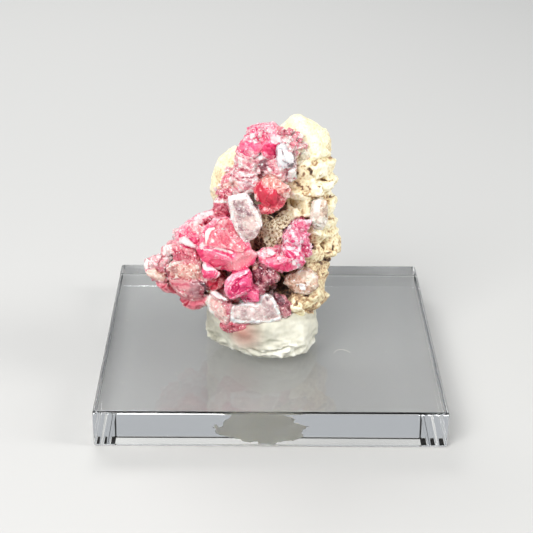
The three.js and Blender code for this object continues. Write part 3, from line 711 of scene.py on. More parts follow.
class Finish(Enum):
    """The calcites of this specimen, from hot pink to colourless."""

    HOT_PINK = Calcite("hot_pink_calcite", "#d81458", "#fa5282", "#fb9cae", "#ffe8e8")
    MAGENTA = Calcite("magenta_calcite", "#c00c56", "#f04a80", "#f596ae", "#ffe9ee", frosting_and_top_light=0.4)
    CORAL = Calcite("coral_pink_calcite", "#b8324e", "#e8788a", "#f3aeb0", "#fff4ee")
    RED = Calcite("red_calcite", "#b80f2f", "#e43c56", "#ee868a", "#fcdcd4", frosting_and_top_light=0.4)
    PALE_PINK = Calcite("pale_pink_calcite", "#b84a60", "#e68e9a", "#f3c4c4", "#fff6f2", frosting_and_top_light=0.55)
    ROSE = Calcite("rose_calcite", "#c0364c", "#e57888", "#efb0ae", "#fcebe2")
    MAUVE = Calcite("mauve_calcite", "#5f1a2e", "#ad5264", "#d49498", "#f6e0dc")
    MILKY = Calcite("milky_calcite", "#b98a92", "#e6cac6", "#f7ece6", "#ffffff", frosting_and_top_light=0.4, cloud=0.9,
                    cloudiness=1.1)
    CREAMY = Calcite("creamy_calcite", "#b8a292", "#e8dccc", "#faf4ea", "#ffffff", frosting_and_top_light=0.4)
    CLEAR = Calcite("clear_calcite", "#b09aa4", "#f0e4e8", "#fffcfc", "#ffffff", frosting_and_top_light=0.3, clarity=0.25,
                    cloudiness=1.0, roughness=0.06)
    PEACH = Calcite("peach_calcite", "#966a54", "#d9ae96", "#f0d8c6", "#ffffff", frosting_and_top_light=0.4)


# ---- Small crystals ---------------------------------------------------------------------------


class Habit(Enum):
    """The shapes that the small crystals take, as their half-widths along the three face pairs."""

    RHOMB = (1.0, 1.0, 1.0)
    BLADE = (1.0, 0.4, 0.9)
    STUB = (0.7, 0.9, 1.2)


@dataclass
class SmallCrystals:
    """Cleavage rhombs, modelled once for each habit and copied wherever they are needed."""

    polar: float = math.radians(44.6)  # calcite's rhombohedron: its faces' normals from the c axis
    blunt: float = 1.1  # where the two points are cut off
    blank: float = 4.0  # side of the cube that each is cut from
    models: dict = field(default_factory=dict)

    def model(self, habit: Habit) -> bpy.types.Mesh:
        """Cut one crystal of unit half-width out of a cube.

        Args:
            habit: the shape to cut.

        Returns:
            The mesh, about the origin.
        """
        if habit in self.models:
            return self.models[habit]
        bpy.ops.object.select_all(action="DESELECT")
        bpy.ops.mesh.primitive_cube_add(size=self.blank)
        cube = bpy.context.object
        bpy.ops.object.mode_set(mode="EDIT")
        faces = [(Vector((math.sin(self.polar) * math.cos(turn), math.sin(self.polar) * math.sin(turn),
                          math.cos(self.polar))), width)
                 for turn, width in zip((0, math.tau / 3, 2 * math.tau / 3), habit.value)]
        faces.append((UP, self.blunt * max(habit.value)))
        for normal, width in faces:
            for side in (1, -1):
                bpy.ops.mesh.select_all(action="SELECT")
                bpy.ops.mesh.bisect(plane_co=side * width * normal, plane_no=side * normal,
                                    use_fill=True, clear_outer=True)
        bpy.ops.mesh.select_all(action="SELECT")
        bpy.ops.mesh.normals_make_consistent(inside=False)
        bpy.ops.object.mode_set(mode="OBJECT")
        mesh = cube.data.copy()
        bpy.data.objects.remove(cube)
        self.models[habit] = mesh
        return mesh

    def place(self, habit: Habit, matrix: Matrix, tone: float) -> bpy.types.Object:
        """Copy a crystal to its place, with its own mesh and tone.

        Args:
            habit: its shape.
            matrix: its place, turn and size, in metres.
            tone: how pale it is.

        Returns:
            The new crystal, at the origin.
        """
        mesh = self.model(habit).copy()
        mesh.transform(matrix)
        store(mesh, tone=tone, relief=0.1, cream=0.0, smoke=0.0, clean=0.0)
        return add_object("small_crystal", mesh)


@dataclass
class Surroundings:
    """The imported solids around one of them, to tell which places lie open and how near they are."""

    own: str
    leave_out: tuple[str, ...] = ("acrylic_slab",)
    tree: BVHTree = field(init=False)

    def __post_init__(self) -> None:
        """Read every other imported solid."""
        points, faces = [], []
        for name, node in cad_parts.items():
            if name == self.own or name in self.leave_out:
                continue
            first = len(points)
            points += [vertex.co for vertex in node.data.vertices]
            faces += [tuple(first + i for i in polygon.vertices) for polygon in node.data.polygons]
        self.tree = BVHTree.FromPolygons(points, faces)

    def near(self, point: Vector, reach: float) -> bool:
        """Tell whether another solid lies within reach of a point."""
        return self.tree.find_nearest(point, reach)[0] is not None

    def closeness(self, points: np.ndarray, reach: float) -> np.ndarray:
        """Give 1 where another solid touches and 0 where none is within reach.

        Args:
            points: the points in millimetres.
            reach: how far to look, in millimetres.

        Returns:
            The closeness of each point.
        """
        gaps = (self.tree.find_nearest(place, reach * MM)[3] for place in (points * MM).tolist())
        return np.fromiter((0.0 if gap is None else 1 - gap / (reach * MM) for gap in gaps), float, len(points))


@dataclass(frozen=True)
class Growth:
    """How small crystals grow on faces."""

    density: float  # crystals on a square millimetre
    sizes: tuple[float, float] = (0.14, 0.34)  # half-widths in millimetres
    habits: tuple[Habit, ...] = (Habit.RHOMB, Habit.STUB, Habit.BLADE)
    scatter: float = 16.0  # degrees about the shared axis
    spread: float = 0.13  # how much their tones differ
    rise: tuple[float, float] = (-0.6, 0.15)  # where their middles lie, in half-widths above the face
    swell: float = 0.1  # how far the face itself grows, in millimetres
    clear: float = 0.3  # millimetres in front of a face where another solid covers it
    touch: float = 0.12  # how near that solid has to be, in millimetres

    def grow(self, mesh: bpy.types.Mesh, small: SmallCrystals, around: Surroundings, axis: Matrix,
             dice: random.Random, beds: tuple = ()) -> list[bpy.types.Object]:
        """Set small crystals on the open faces of a solid.

        Args:
            mesh: the solid's mesh, before it is refined.
            small: the maker of the small crystals.
            around: the solids around it.
            axis: the crystal axes that they share.
            dice: the random draws.
            beds: balls in millimetres that they keep to, or none.

        Returns:
            The small crystals, not yet joined.
        """
        mesh.calc_loop_triangles()
        triangles = list(mesh.loop_triangles)
        areas = np.cumsum([triangle.area for triangle in triangles]) / MM ** 2
        placed: list[bpy.types.Object] = []
        for _ in range(int(self.density * areas[-1])):
            triangle = triangles[int(np.searchsorted(areas, dice.random() * areas[-1]))]
            corners = [mesh.vertices[i].co for i in triangle.vertices]
            first, second = sorted((dice.random(), dice.random()))
            spot = corners[0] * first + corners[1] * (second - first) + corners[2] * (1 - second)
            size, habit = dice.uniform(*self.sizes), dice.choice(self.habits)
            tone, tumble = dice.gauss(0.5, self.spread), math.radians(dice.gauss(0, self.scatter))
            lean, rise = Vector((dice.uniform(-1, 1), dice.uniform(-1, 1), 1)), dice.uniform(*self.rise)
            if around.near(spot + triangle.normal * self.clear * MM, self.touch * MM):
                continue
            if beds and max(nearness(np.array([spot]) / MM, *bed)[0] for bed in beds) < dice.uniform(0.1, 0.6):
                continue
            matrix = (Matrix.Translation(spot + triangle.normal * (self.swell + size * rise) * MM)
                      @ (axis @ Matrix.Rotation(tumble, 3, lean)).to_4x4()
                      @ Matrix.Diagonal((size * MM, size * MM, size * MM, 1)))
            placed.append(small.place(habit, matrix, tone))
        return placed


SPARSE = Growth(0.12, (0.1, 0.2), rise=(-0.7, -0.1))
EDGED = Growth(0.5, (0.1, 0.26), rise=(-0.8, 0.0))
DRUSE = Growth(1.6, (0.14, 0.38), rise=(-0.7, 0.1))
SPARKLE = Growth(1.6, (0.16, 0.42), scatter=35.0, spread=0.12)


# ---- Crystal clusters -------------------------------------------------------------------------


@dataclass
class CrystalCluster:
    """One cluster of crystals that grew together.

    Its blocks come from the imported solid. They get growth steps and etching on every face, and small
    crystals in parallel growth on the open faces.
    """

    node: str
    finish: Finish
    seed: int
    growth: Growth = DRUSE
    tone: float = 0.5
    voxel: float = 0.1  # millimetres
    swell: float = 0.06  # how far the faces grow, in millimetres
    reach: float = 0.9  # how far they look for a neighbour to meet, in millimetres
    meet: float = 0.36  # how far they grow towards one that touches
    step: float = 0.06  # height of the growth steps, in millimetres
    weld: float = 0.25  # half the width of a groove that has grown shut, in millimetres
    mosaic: float = 0.16  # how far the blocks of a face lean
    block: float = 1.1  # size of those blocks, in millimetres
    pitting: float = 0.02  # depth of the etch pits, in millimetres
    pit: float = 0.22  # size of the etch pits, in millimetres
    terrace: float = 1.1  # millimetres between growth steps
    grain: tuple[float, float, float] = (0.9, 0.9, 0.28)  # how those steps stretch along the crystal axes
    layers: float = 0.0  # thickness of the plates that it grew in, in millimetres, or 0 for none
    crease: float = 26.0  # degrees from which an edge stays sharp
    ragged: float = 0.6  # how far the outlines of its facets wander, in steps
    seen: bool = True  # whether the facets drawn on the view fall on it

    def build(self, small: SmallCrystals, materials: dict[Finish, bpy.types.Material]) -> bpy.types.Object:
        """Model and dress the cluster.

        Args:
            small: the maker of the small crystals.
            materials: the finished materials.

        Returns:
            The finished piece.
        """
        piece = copy_of_solid(self.node, self.node + "_grown")
        around = Surroundings(self.node)
        dice = random.Random(self.seed)
        lean = Vector((dice.uniform(-1, 1), dice.uniform(-1, 1), 1))
        axis = Matrix.Rotation(dice.uniform(0, math.tau), 3, lean)
        extras = self.growth.grow(piece.data, small, around, axis, dice)
        remesh(piece, self.voxel)
        self.close_grooves(piece)
        blocks = self.etch(piece.data, np.array(axis), around)
        carving = Carving(CRYSTAL_FACETS if self.seen else (), self.ragged)
        points, marks = carving.apply(points_of(piece.data), normals_of(piece.data))
        move_points(piece.data, points)
        marks["tone"] += self.tone + blocks * (1 - 0.7 * marks["clean"])
        store(piece.data, relief=relief_of(piece.data, 8, 0.1), **marks)
        carving.mark(extras, self.tone - 0.5)
        if extras:
            select_only(piece, *extras)
            bpy.ops.object.join()
        select_only(piece)
        bpy.ops.object.shade_smooth_by_angle(angle=math.radians(self.crease))
        dress(piece, self.node, materials[self.finish])
        return piece

    def close_grooves(self, piece: bpy.types.Object) -> None:
        """Fill the narrow grooves between blocks, as crystals that grew into each other do."""
        for shift in (self.weld, -self.weld):
            move_points(piece.data, points_of(piece.data) + normals_of(piece.data) * shift)
            remesh(piece, self.voxel)

    def etch(self, mesh: bpy.types.Mesh, axis: np.ndarray, around: Surroundings) -> np.ndarray:
        """Grow the faces until they meet their neighbours, and cut blocks, steps and pits into them.

        Args:
            mesh: the refined mesh.
            axis: the cluster's own crystal axes.
            around: the solids around it.

        Returns:
            How much paler or deeper the block of each point is, with painted highlight on the top of each growth
            plate and painted shade at its foot.
        """
        points, normals = points_of(mesh), normals_of(mesh)
        rise = noise_at(points @ axis * self.grain, self.terrace) * 3
        steps = (np.floor(rise) + smoothstep(0.35, 0.65, rise - np.floor(rise))) / 3
        heights = self.swell + self.step * steps + self.pitting * noise_at(points, self.pit)
        heights += self.meet * around.closeness(points, self.reach)
        leaning, shares = mosaic_at(points @ axis, self.block)
        heights += self.mosaic * self.block * leaning
        tones = shares * self.mosaic * 0.7
        if self.layers:
            level = (points[:, 2] + 0.2 * points[:, 0] + 0.7 * noise_at(points, 1.7)) / self.layers
            edge = smoothstep(0.1, 0.95, level - np.floor(level))
            heights += self.layers * 0.32 * edge * noise_at(points, 0.9, 5.0)
            # The top edge of each plate is painted paler and its foot deeper: painted highlight and painted shade.
            tones = tones + 0.3 * (edge - 0.5)
        move_points(mesh, points + normals * heights[:, None])
        return tones


# ---- Rock -------------------------------------------------------------------------------------


@dataclass
class HostRock:
    """The dolomite: a smooth cream top, ledges and knobs at the right and a grainy brown patch.

    Its zones are balls, each given by its middle and its radius in millimetres.
    """

    node: str = "host_rock"
    rough_voxel: float = 0.3  # millimetres, while it is weathered
    voxel: float = 0.16  # millimetres
    swell: float = 0.06
    ragged: float = 1.1  # how far the outlines of its facets wander, in steps
    block: float = 2.8  # size of its joint blocks, in millimetres
    worn: float = 0.75  # how far its smooth zones are worn down
    lump: float = 1.15  # size of its lumps, in millimetres
    crumb: float = 0.55  # size of its crumbs, in millimetres
    sugar: float = 0.3  # size of its finest grains, in millimetres
    grain: float = 0.42  # size of the grains in its grainy zone, in millimetres
    nodule: float = 0.9  # size of the nodules on its knobs, in millimetres
    ledge: float = 0.75  # depth of the gaps between ledges, in millimetres
    gap: float = 0.3  # half the width of those gaps, in millimetres
    ledged: tuple[float, float] = (4.5, 6.5)  # places across between which the ledges begin, in millimetres
    tone: float = 0.62
    grainy: tuple = ((0.6, -4.0, 21.4), 3.9)
    smooth: tuple = (((2.0, 1.5, 33.5), 6.5), ((-6.7, 1.7, 28.5), 5.0))
    knobby: tuple = (((5.2, -1.0, 12.4), 4.6), ((7.0, 0.0, 17.8), 3.4), ((7.2, 0.6, 22.0), 3.2))
    notches: tuple[float, ...] = (30.8, 28.0, 25.3, 22.6, 16.6)  # heights of the gaps, in millimetres
    darker_below: tuple[float, float] = (16.0, 22.0)  # heights between which its darkening towards the bottom fades out, in millimetres
    beds: tuple = (((-3.0, -3.0, 30.5), 6.0), ((-8.5, -3.0, 19.5), 6.5), ((-2.5, -6.0, 13.5), 5.0),
                   ((-6.0, -2.0, 25.0), 4.5))

    def build(self) -> bpy.types.Object:
        """Model and dress the rock."""
        piece = copy_of_solid(self.node, "dolomite_rock")
        remesh(piece, self.rough_voxel)
        self.weather(piece.data)
        remesh(piece, self.voxel)
        points, marks = Carving(ROCK_FACETS, self.ragged).apply(points_of(piece.data), normals_of(piece.data))
        move_points(piece.data, points)
        speckle, coarse = self.roughen(piece.data)
        ragged = noise_at(points, 1.1) * 0.35
        marks["tone"] += self.tone + speckle
        blush = smoothstep(0.2, 0.8, self.share(points, self.beds) + ragged)
        store(piece.data, relief=relief_of(piece.data, 6, 0.13), blush=blush, coarse=coarse,
              tone=marks["tone"], smoke=marks["smoke"])
        select_only(piece)
        bpy.ops.object.shade_smooth()
        dress(piece, self.node, Dolomite().material())
        return piece

    @staticmethod
    def share(points: np.ndarray, balls: tuple) -> np.ndarray:
        """Give the strongest weight of each point in some balls."""
        return np.max([nearness(points, *ball) for ball in balls], axis=0)

    def weather(self, mesh: bpy.types.Mesh) -> None:
        """Swell the large lumps and wear the ledges of the right side."""
        points, normals = points_of(mesh), normals_of(mesh)
        blocks = mosaic_at(points * (1, 1, 1.5), self.block)[0]
        lumps = noise_at(points, 2.4) * 0.25 + noise_at(points, 1.05) * 0.08 + blocks * 0.7
        lumps *= 1 - self.worn * self.share(points, self.smooth)
        level = points[:, 2] + noise_at(points, 3.0) * 0.5
        ledges = 0.2 - self.ledge * sum(np.exp(-((level - notch) / self.gap) ** 2) for notch in self.notches)
        heights = self.swell + lumps + ledges * smoothstep(*self.ledged, points[:, 0])
        move_points(mesh, points + normals * heights[:, None])

    def roughen(self, mesh: bpy.types.Mesh) -> tuple[np.ndarray, np.ndarray]:
        """Crumble the surface: sugary at the top, in lumps below, coarse in the grainy patch.

        Args:
            mesh: the refined mesh.

        Returns:
            How much paler or browner each point's own grain is, and how coarse its zone is.
        """
        points, normals = points_of(mesh), normals_of(mesh)
        grainy, knobs = nearness(points, *self.grainy), self.share(points, self.knobby)
        crumbly = 1 - 0.85 * self.share(points, self.smooth)
        lumps = 0.5 - np.abs(noise_at(points, self.lump)) * 2.2
        crumbs = 0.5 - np.abs(noise_at(points, self.crumb, 7.0)) * 2.2
        sugar = noise_at(points, self.sugar)
        grains, nodules = grains_at(points, self.grain), grains_at(points, self.nodule)
        heights = (crumbly * (0.07 * lumps + 0.06 * crumbs) + 0.05 * sugar + grainy * (0.1 - 0.28 * grains)
                   + knobs * (0.06 - 0.16 * nodules))
        move_points(mesh, points + normals * heights[:, None])
        coarse = smoothstep(0.25, 0.6, grainy + noise_at(points, 1.1) * 0.35)
        tints = crumbly * (0.09 * crumbs + 0.08 * noise_at(points, 1.8, 3.0)) + coarse * (0.15 - 0.5 * grains)
        # darker towards the bottom, outside the grainy zone
        tints -= 0.19 * (1 - smoothstep(*self.darker_below, points[:, 2])) * (1 - coarse)
        return tints, coarse


@dataclass
class BedDruse:
    """The carpet of small crystals that covers the rock between the larger ones."""

    finish: Finish = Finish.PALE_PINK
    growth: Growth = Growth(3.2, (0.14, 0.36), scatter=35.0, spread=0.16)
    axis: tuple[float, float, float] = (0.3, -0.8, 0.5)  # the line that its crystals are turned about
    turn: float = 0.7  # how far, in radians
    slot: str = "pale_pink_calcite"
    seed: int = 77

    def build(self, rock: HostRock, small: SmallCrystals,
              materials: dict[Finish, bpy.types.Material]) -> bpy.types.Object:
        """Model and dress the carpet.

        Args:
            rock: the rock that it grows on.
            small: the maker of the small crystals.
            materials: the finished materials.

        Returns:
            The finished piece.
        """
        dice = random.Random(self.seed)
        bed = copy_of_solid(rock.node, "bed")
        axis = Matrix.Rotation(self.turn, 3, Vector(self.axis))
        crystals = self.growth.grow(bed.data, small, Surroundings(rock.node), axis, dice, rock.beds)
        bpy.data.objects.remove(bed)
        Carving(CRYSTAL_FACETS).mark(crystals)
        piece = joined("bed_druse", crystals)
        bpy.ops.object.shade_flat()
        dress(piece, "", materials[self.finish])
        return piece


# ---- Tack and slab ----------------------------------------------------------------------------


@dataclass
class TackPad:
    """The pad of tack, squeezed out under the stone by a thumb and torn at its front edge."""

    node: str = "mineral_tack"
    voxel: float = 0.2  # millimetres
    swell: float = 0.15
    rounding: int = 6  # how often its corners are worn down
    dent: float = 0.42  # depth of the thumb marks, in millimetres
    fold: float = 0.4  # height of the folds at its front, in millimetres
    thin: float = 0.1  # how far its loose edge lies above the slab, in millimetres
    seat: float = 5.0  # height of the slab's top, in millimetres
    grip: float = 6.2  # how far from the middle it holds, in millimetres
    skew: float = 0.3  # how far its foot is drawn in at the left and out at the right, for each millimetre across
    torn: tuple[float, float] = (1.0, 2.6)  # heights above the slab between which the tearing ends, in millimetres
    folded: tuple[float, float] = (2.5, 4.0)  # the same heights for the folds
    skewed: tuple[float, float] = (0.5, 5.0)  # the same heights for the skew
    front: tuple[float, float] = (-2.0, -7.0)  # places, back to front, between which the skew begins, in millimetres
    bond: float = 0.03  # how far it is pressed into the slab's face, so that no air is left between
    pink_reflection: tuple = ((-4.0, -8.6, 8.7), 3.8, 1.0)  # middle, radius and soft share of the painted pink reflection
    pink_reflection_strength: float = 0.75  # how strong the painted pink reflection is

    def build(self) -> bpy.types.Object:
        """Model and dress the pad."""
        piece = copy_of_solid(self.node, "tack_pad")
        remesh(piece, self.voxel)
        mesh = piece.data
        points = blurred(points_of(mesh), mesh, self.rounding)
        move_points(mesh, points)
        dents = noise_at(points * (1, 1, 1.5), 3.4) * self.dent
        torn = 1 - smoothstep(*self.torn, points[:, 2] - self.seat)
        wrinkles = (noise_at(points * (1, 1, 2.2), 1.2) * (0.1 + 0.4 * torn)
                    + noise_at(points, 0.55) * (0.03 + 0.16 * torn))
        folds = (noise_at(points * (0.7, 1, 2.4), 0.9) * self.fold * smoothstep(-3.0, 0.0, points[:, 0])
                 * smoothstep(5.5, 3.0, points[:, 0]) * (1 - smoothstep(*self.folded, points[:, 2] - self.seat)))
        free = smoothstep(self.seat, self.seat + 0.7, points[:, 2])
        points = points + normals_of(mesh) * ((self.swell + dents + wrinkles + folds) * free)[:, None]
        low = 1 - smoothstep(*self.skewed, points[:, 2] - self.seat)
        points[:, 1] += low * smoothstep(*self.front, points[:, 1]) * (0.2 - self.skew * points[:, 0])
        points, marks = Carving(TACK_FACETS).apply(points, normals_of(mesh))
        height = points[:, 2] - self.seat
        away = np.linalg.norm(points[:, :2] - points[:, :2].mean(axis=0), axis=1)
        ragged = away + noise_at(points, 2.2) * 1.6 + noise_at(points, 0.8) * 0.9
        pressed = (1 - smoothstep(0.25, 0.35, height)) * (1 - smoothstep(self.grip, self.grip + 0.1, ragged))
        points[:, 2] = self.seat + np.maximum(height, self.thin) * (1 - pressed) - self.bond * pressed
        move_points(mesh, points)
        # The tone holds the painted shade of the pad's facets, and the pressed footprint is painted paler: painted
        # light that the slab carries to it.
        store(mesh, blush=nearness(points, *self.pink_reflection) * self.pink_reflection_strength, relief=relief_of(mesh, 6, 0.2),
              tone=marks["tone"] + 0.5 + 0.5 * pressed)
        select_only(piece)
        bpy.ops.object.shade_smooth()
        dress(piece, self.node, Tack().material())
        return piece


@dataclass
class Slab:
    """The acrylic slab, with a polished bevel on each edge."""

    node: str = "acrylic_slab"
    bevel: float = 0.35  # millimetres

    def build(self) -> bpy.types.Object:
        """Model and dress the slab."""
        low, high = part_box(self.node)
        bpy.ops.object.select_all(action="DESELECT")
        bpy.ops.mesh.primitive_cube_add(size=1, location=(low + high) / 2, scale=high - low)
        bpy.ops.object.transform_apply(location=True, rotation=True, scale=True)
        piece = bpy.context.object
        piece.name = piece.data.name = "polished_slab"
        finish_with(piece, "BEVEL", width=self.bevel * MM, segments=3, limit_method="ANGLE", profile=0.6)
        bpy.ops.object.shade_smooth()
        finish_with(piece, "WEIGHTED_NORMAL", weight=100)
        dress(piece, self.node, Acrylic().material())
        return piece


@dataclass
class SettledDust:
    """Crumbs of dust and one curl of lint on the slab."""

    count: int = 150
    half: float = 21.5  # millimetres from the slab's middle
    top: float = 5.0  # height of the slab's top, in millimetres
    sizes: tuple[float, float] = (0.02, 0.07)  # radii in millimetres
    first: tuple[float, float] = (12.0, -15.0)  # where the first crumb lies, in millimetres
    first_size: float = 0.05  # its radius in millimetres
    curl: tuple = ((8.6, -6.6), (8.9, -5.6), (9.6, -5.2), (10.3, -5.5), (10.9, -6.2))
    fibre: float = 0.035  # radius of the lint, in millimetres
    slot: str = "white_tack"
    seed: int = 5

    def build(self) -> bpy.types.Object:
        """Model and dress the dust."""
        dice = random.Random(self.seed)
        bpy.ops.object.select_all(action="DESELECT")
        bpy.ops.mesh.primitive_ico_sphere_add(subdivisions=1, radius=1)
        crumb = bpy.context.object
        for vertex in crumb.data.vertices:
            vertex.co *= dice.uniform(0.6, 1.2)
        pieces = [crumb]
        for _ in range(self.count):
            size = dice.uniform(*self.sizes) * MM
            mesh = crumb.data.copy()
            spot = Vector((dice.uniform(-self.half, self.half), dice.uniform(-self.half, self.half), self.top)) * MM
            mesh.transform(Matrix.Translation(spot + UP * size * 0.4)
                           @ Matrix.Rotation(dice.uniform(0, math.tau), 4, "Z")
                           @ Matrix.Diagonal((size * dice.uniform(1, 2.4), size, size * 0.6, 1)))
            pieces.append(add_object("crumb", mesh))
        crumb.data.transform(Matrix.Translation(Vector((*self.first, self.top + 0.03)) * MM)
                             @ Matrix.Scale(self.first_size * MM, 4))
        pieces.append(self.lint())
        piece = joined("settled_dust", pieces)
        dress(piece, "", Dust().material())
        return piece

    def lint(self) -> bpy.types.Object:
        """Bend one fibre and make it a mesh."""
        data = bpy.data.curves.new("lint", "CURVE")
        data.dimensions, data.bevel_depth, data.bevel_resolution = "3D", self.fibre * MM, 1
        line = data.splines.new("NURBS")
        line.points.add(len(self.curl) - 1)
        for point, (x, y) in zip(line.points, self.curl):
            point.co = (x * MM, y * MM, (self.top + 0.05) * MM, 1)
        line.use_endpoint_u = True
        fibre = add_object("lint", data)
        select_only(fibre)
        bpy.ops.object.convert(target="MESH")
        return fibre


# ---- Studio -----------------------------------------------------------------------------------


@dataclass
class Studio:
    """The pale floor, the soft lights and the camera."""

    drop: float = 0.03  # how far the floor lies below the slab, in millimetres
    width: float = 4.0  # of the floor, in metres
    sky: str = "#e9edf2"
    sky_strength: float = 0.55
    aim: tuple[float, float, float] = (-1.0, 0.0, 18.0)  # what the lights face, in millimetres
    softboxes: tuple = (("key_softbox", (-130, -230, 230), (200, 200), 1.18),
                        ("side_strip", (260, -60, 160), (90, 220), 0.52),
                        ("rear_strip", (-100, 260, 240), (260, 100), 0.6))

    def build(self) -> None:
        """Set the stage."""
        bpy.ops.object.select_all(action="DESELECT")
        bpy.ops.mesh.primitive_plane_add(size=self.width, location=(0, 0, -self.drop * MM))
        floor = bpy.context.object
        floor.name = "studio_floor"
        floor.data.materials.append(Linoleum().material())
        self.camera()
        for name, place, size, power in self.softboxes:
            self.softbox(name, Vector(place) * MM, size, power)
        world = bpy.data.worlds.new("sky")
        world.use_nodes = True
        background = world.node_tree.nodes["Background"].inputs
        background["Color"].default_value, background["Strength"].default_value = linear(self.sky), self.sky_strength
        bpy.context.scene.world = world
        bpy.context.scene.view_settings.view_transform = "Standard"

    def camera(self) -> None:
        """Aim the camera down at the specimen."""
        right, top, ahead = (Vector(axis) for axis in VIEW.axes())
        data = bpy.data.cameras.new("view")
        data.lens, data.sensor_width = VIEW.lens, VIEW.sensor
        data.clip_start, data.clip_end = 0.01, 20.0
        camera = add_object("view", data)
        turn = Matrix((right, top, -ahead)).transposed().to_4x4()
        camera.matrix_world = Matrix.Translation(Vector(VIEW.eye) * MM) @ turn
        bpy.context.scene.camera = camera

    def softbox(self, name: str, place: Vector, size: tuple[float, float], power: float) -> None:
        """Hang a softbox that faces the specimen.

        Args:
            name: the light's name.
            place: its middle, in metres.
            size: its width and height in millimetres.
            power: its power in watts.
        """
        data = bpy.data.lights.new(name, "AREA")
        data.shape, data.size, data.size_y, data.energy = "RECTANGLE", size[0] * MM, size[1] * MM, power
        light = add_object(name, data)
        light.location = place
        light.rotation_mode = "QUATERNION"
        light.rotation_quaternion = (Vector(self.aim) * MM - place).to_track_quat("-Z", "Y")


# ---- Facets, drawn on the view's grid ----------------------------------------------------------


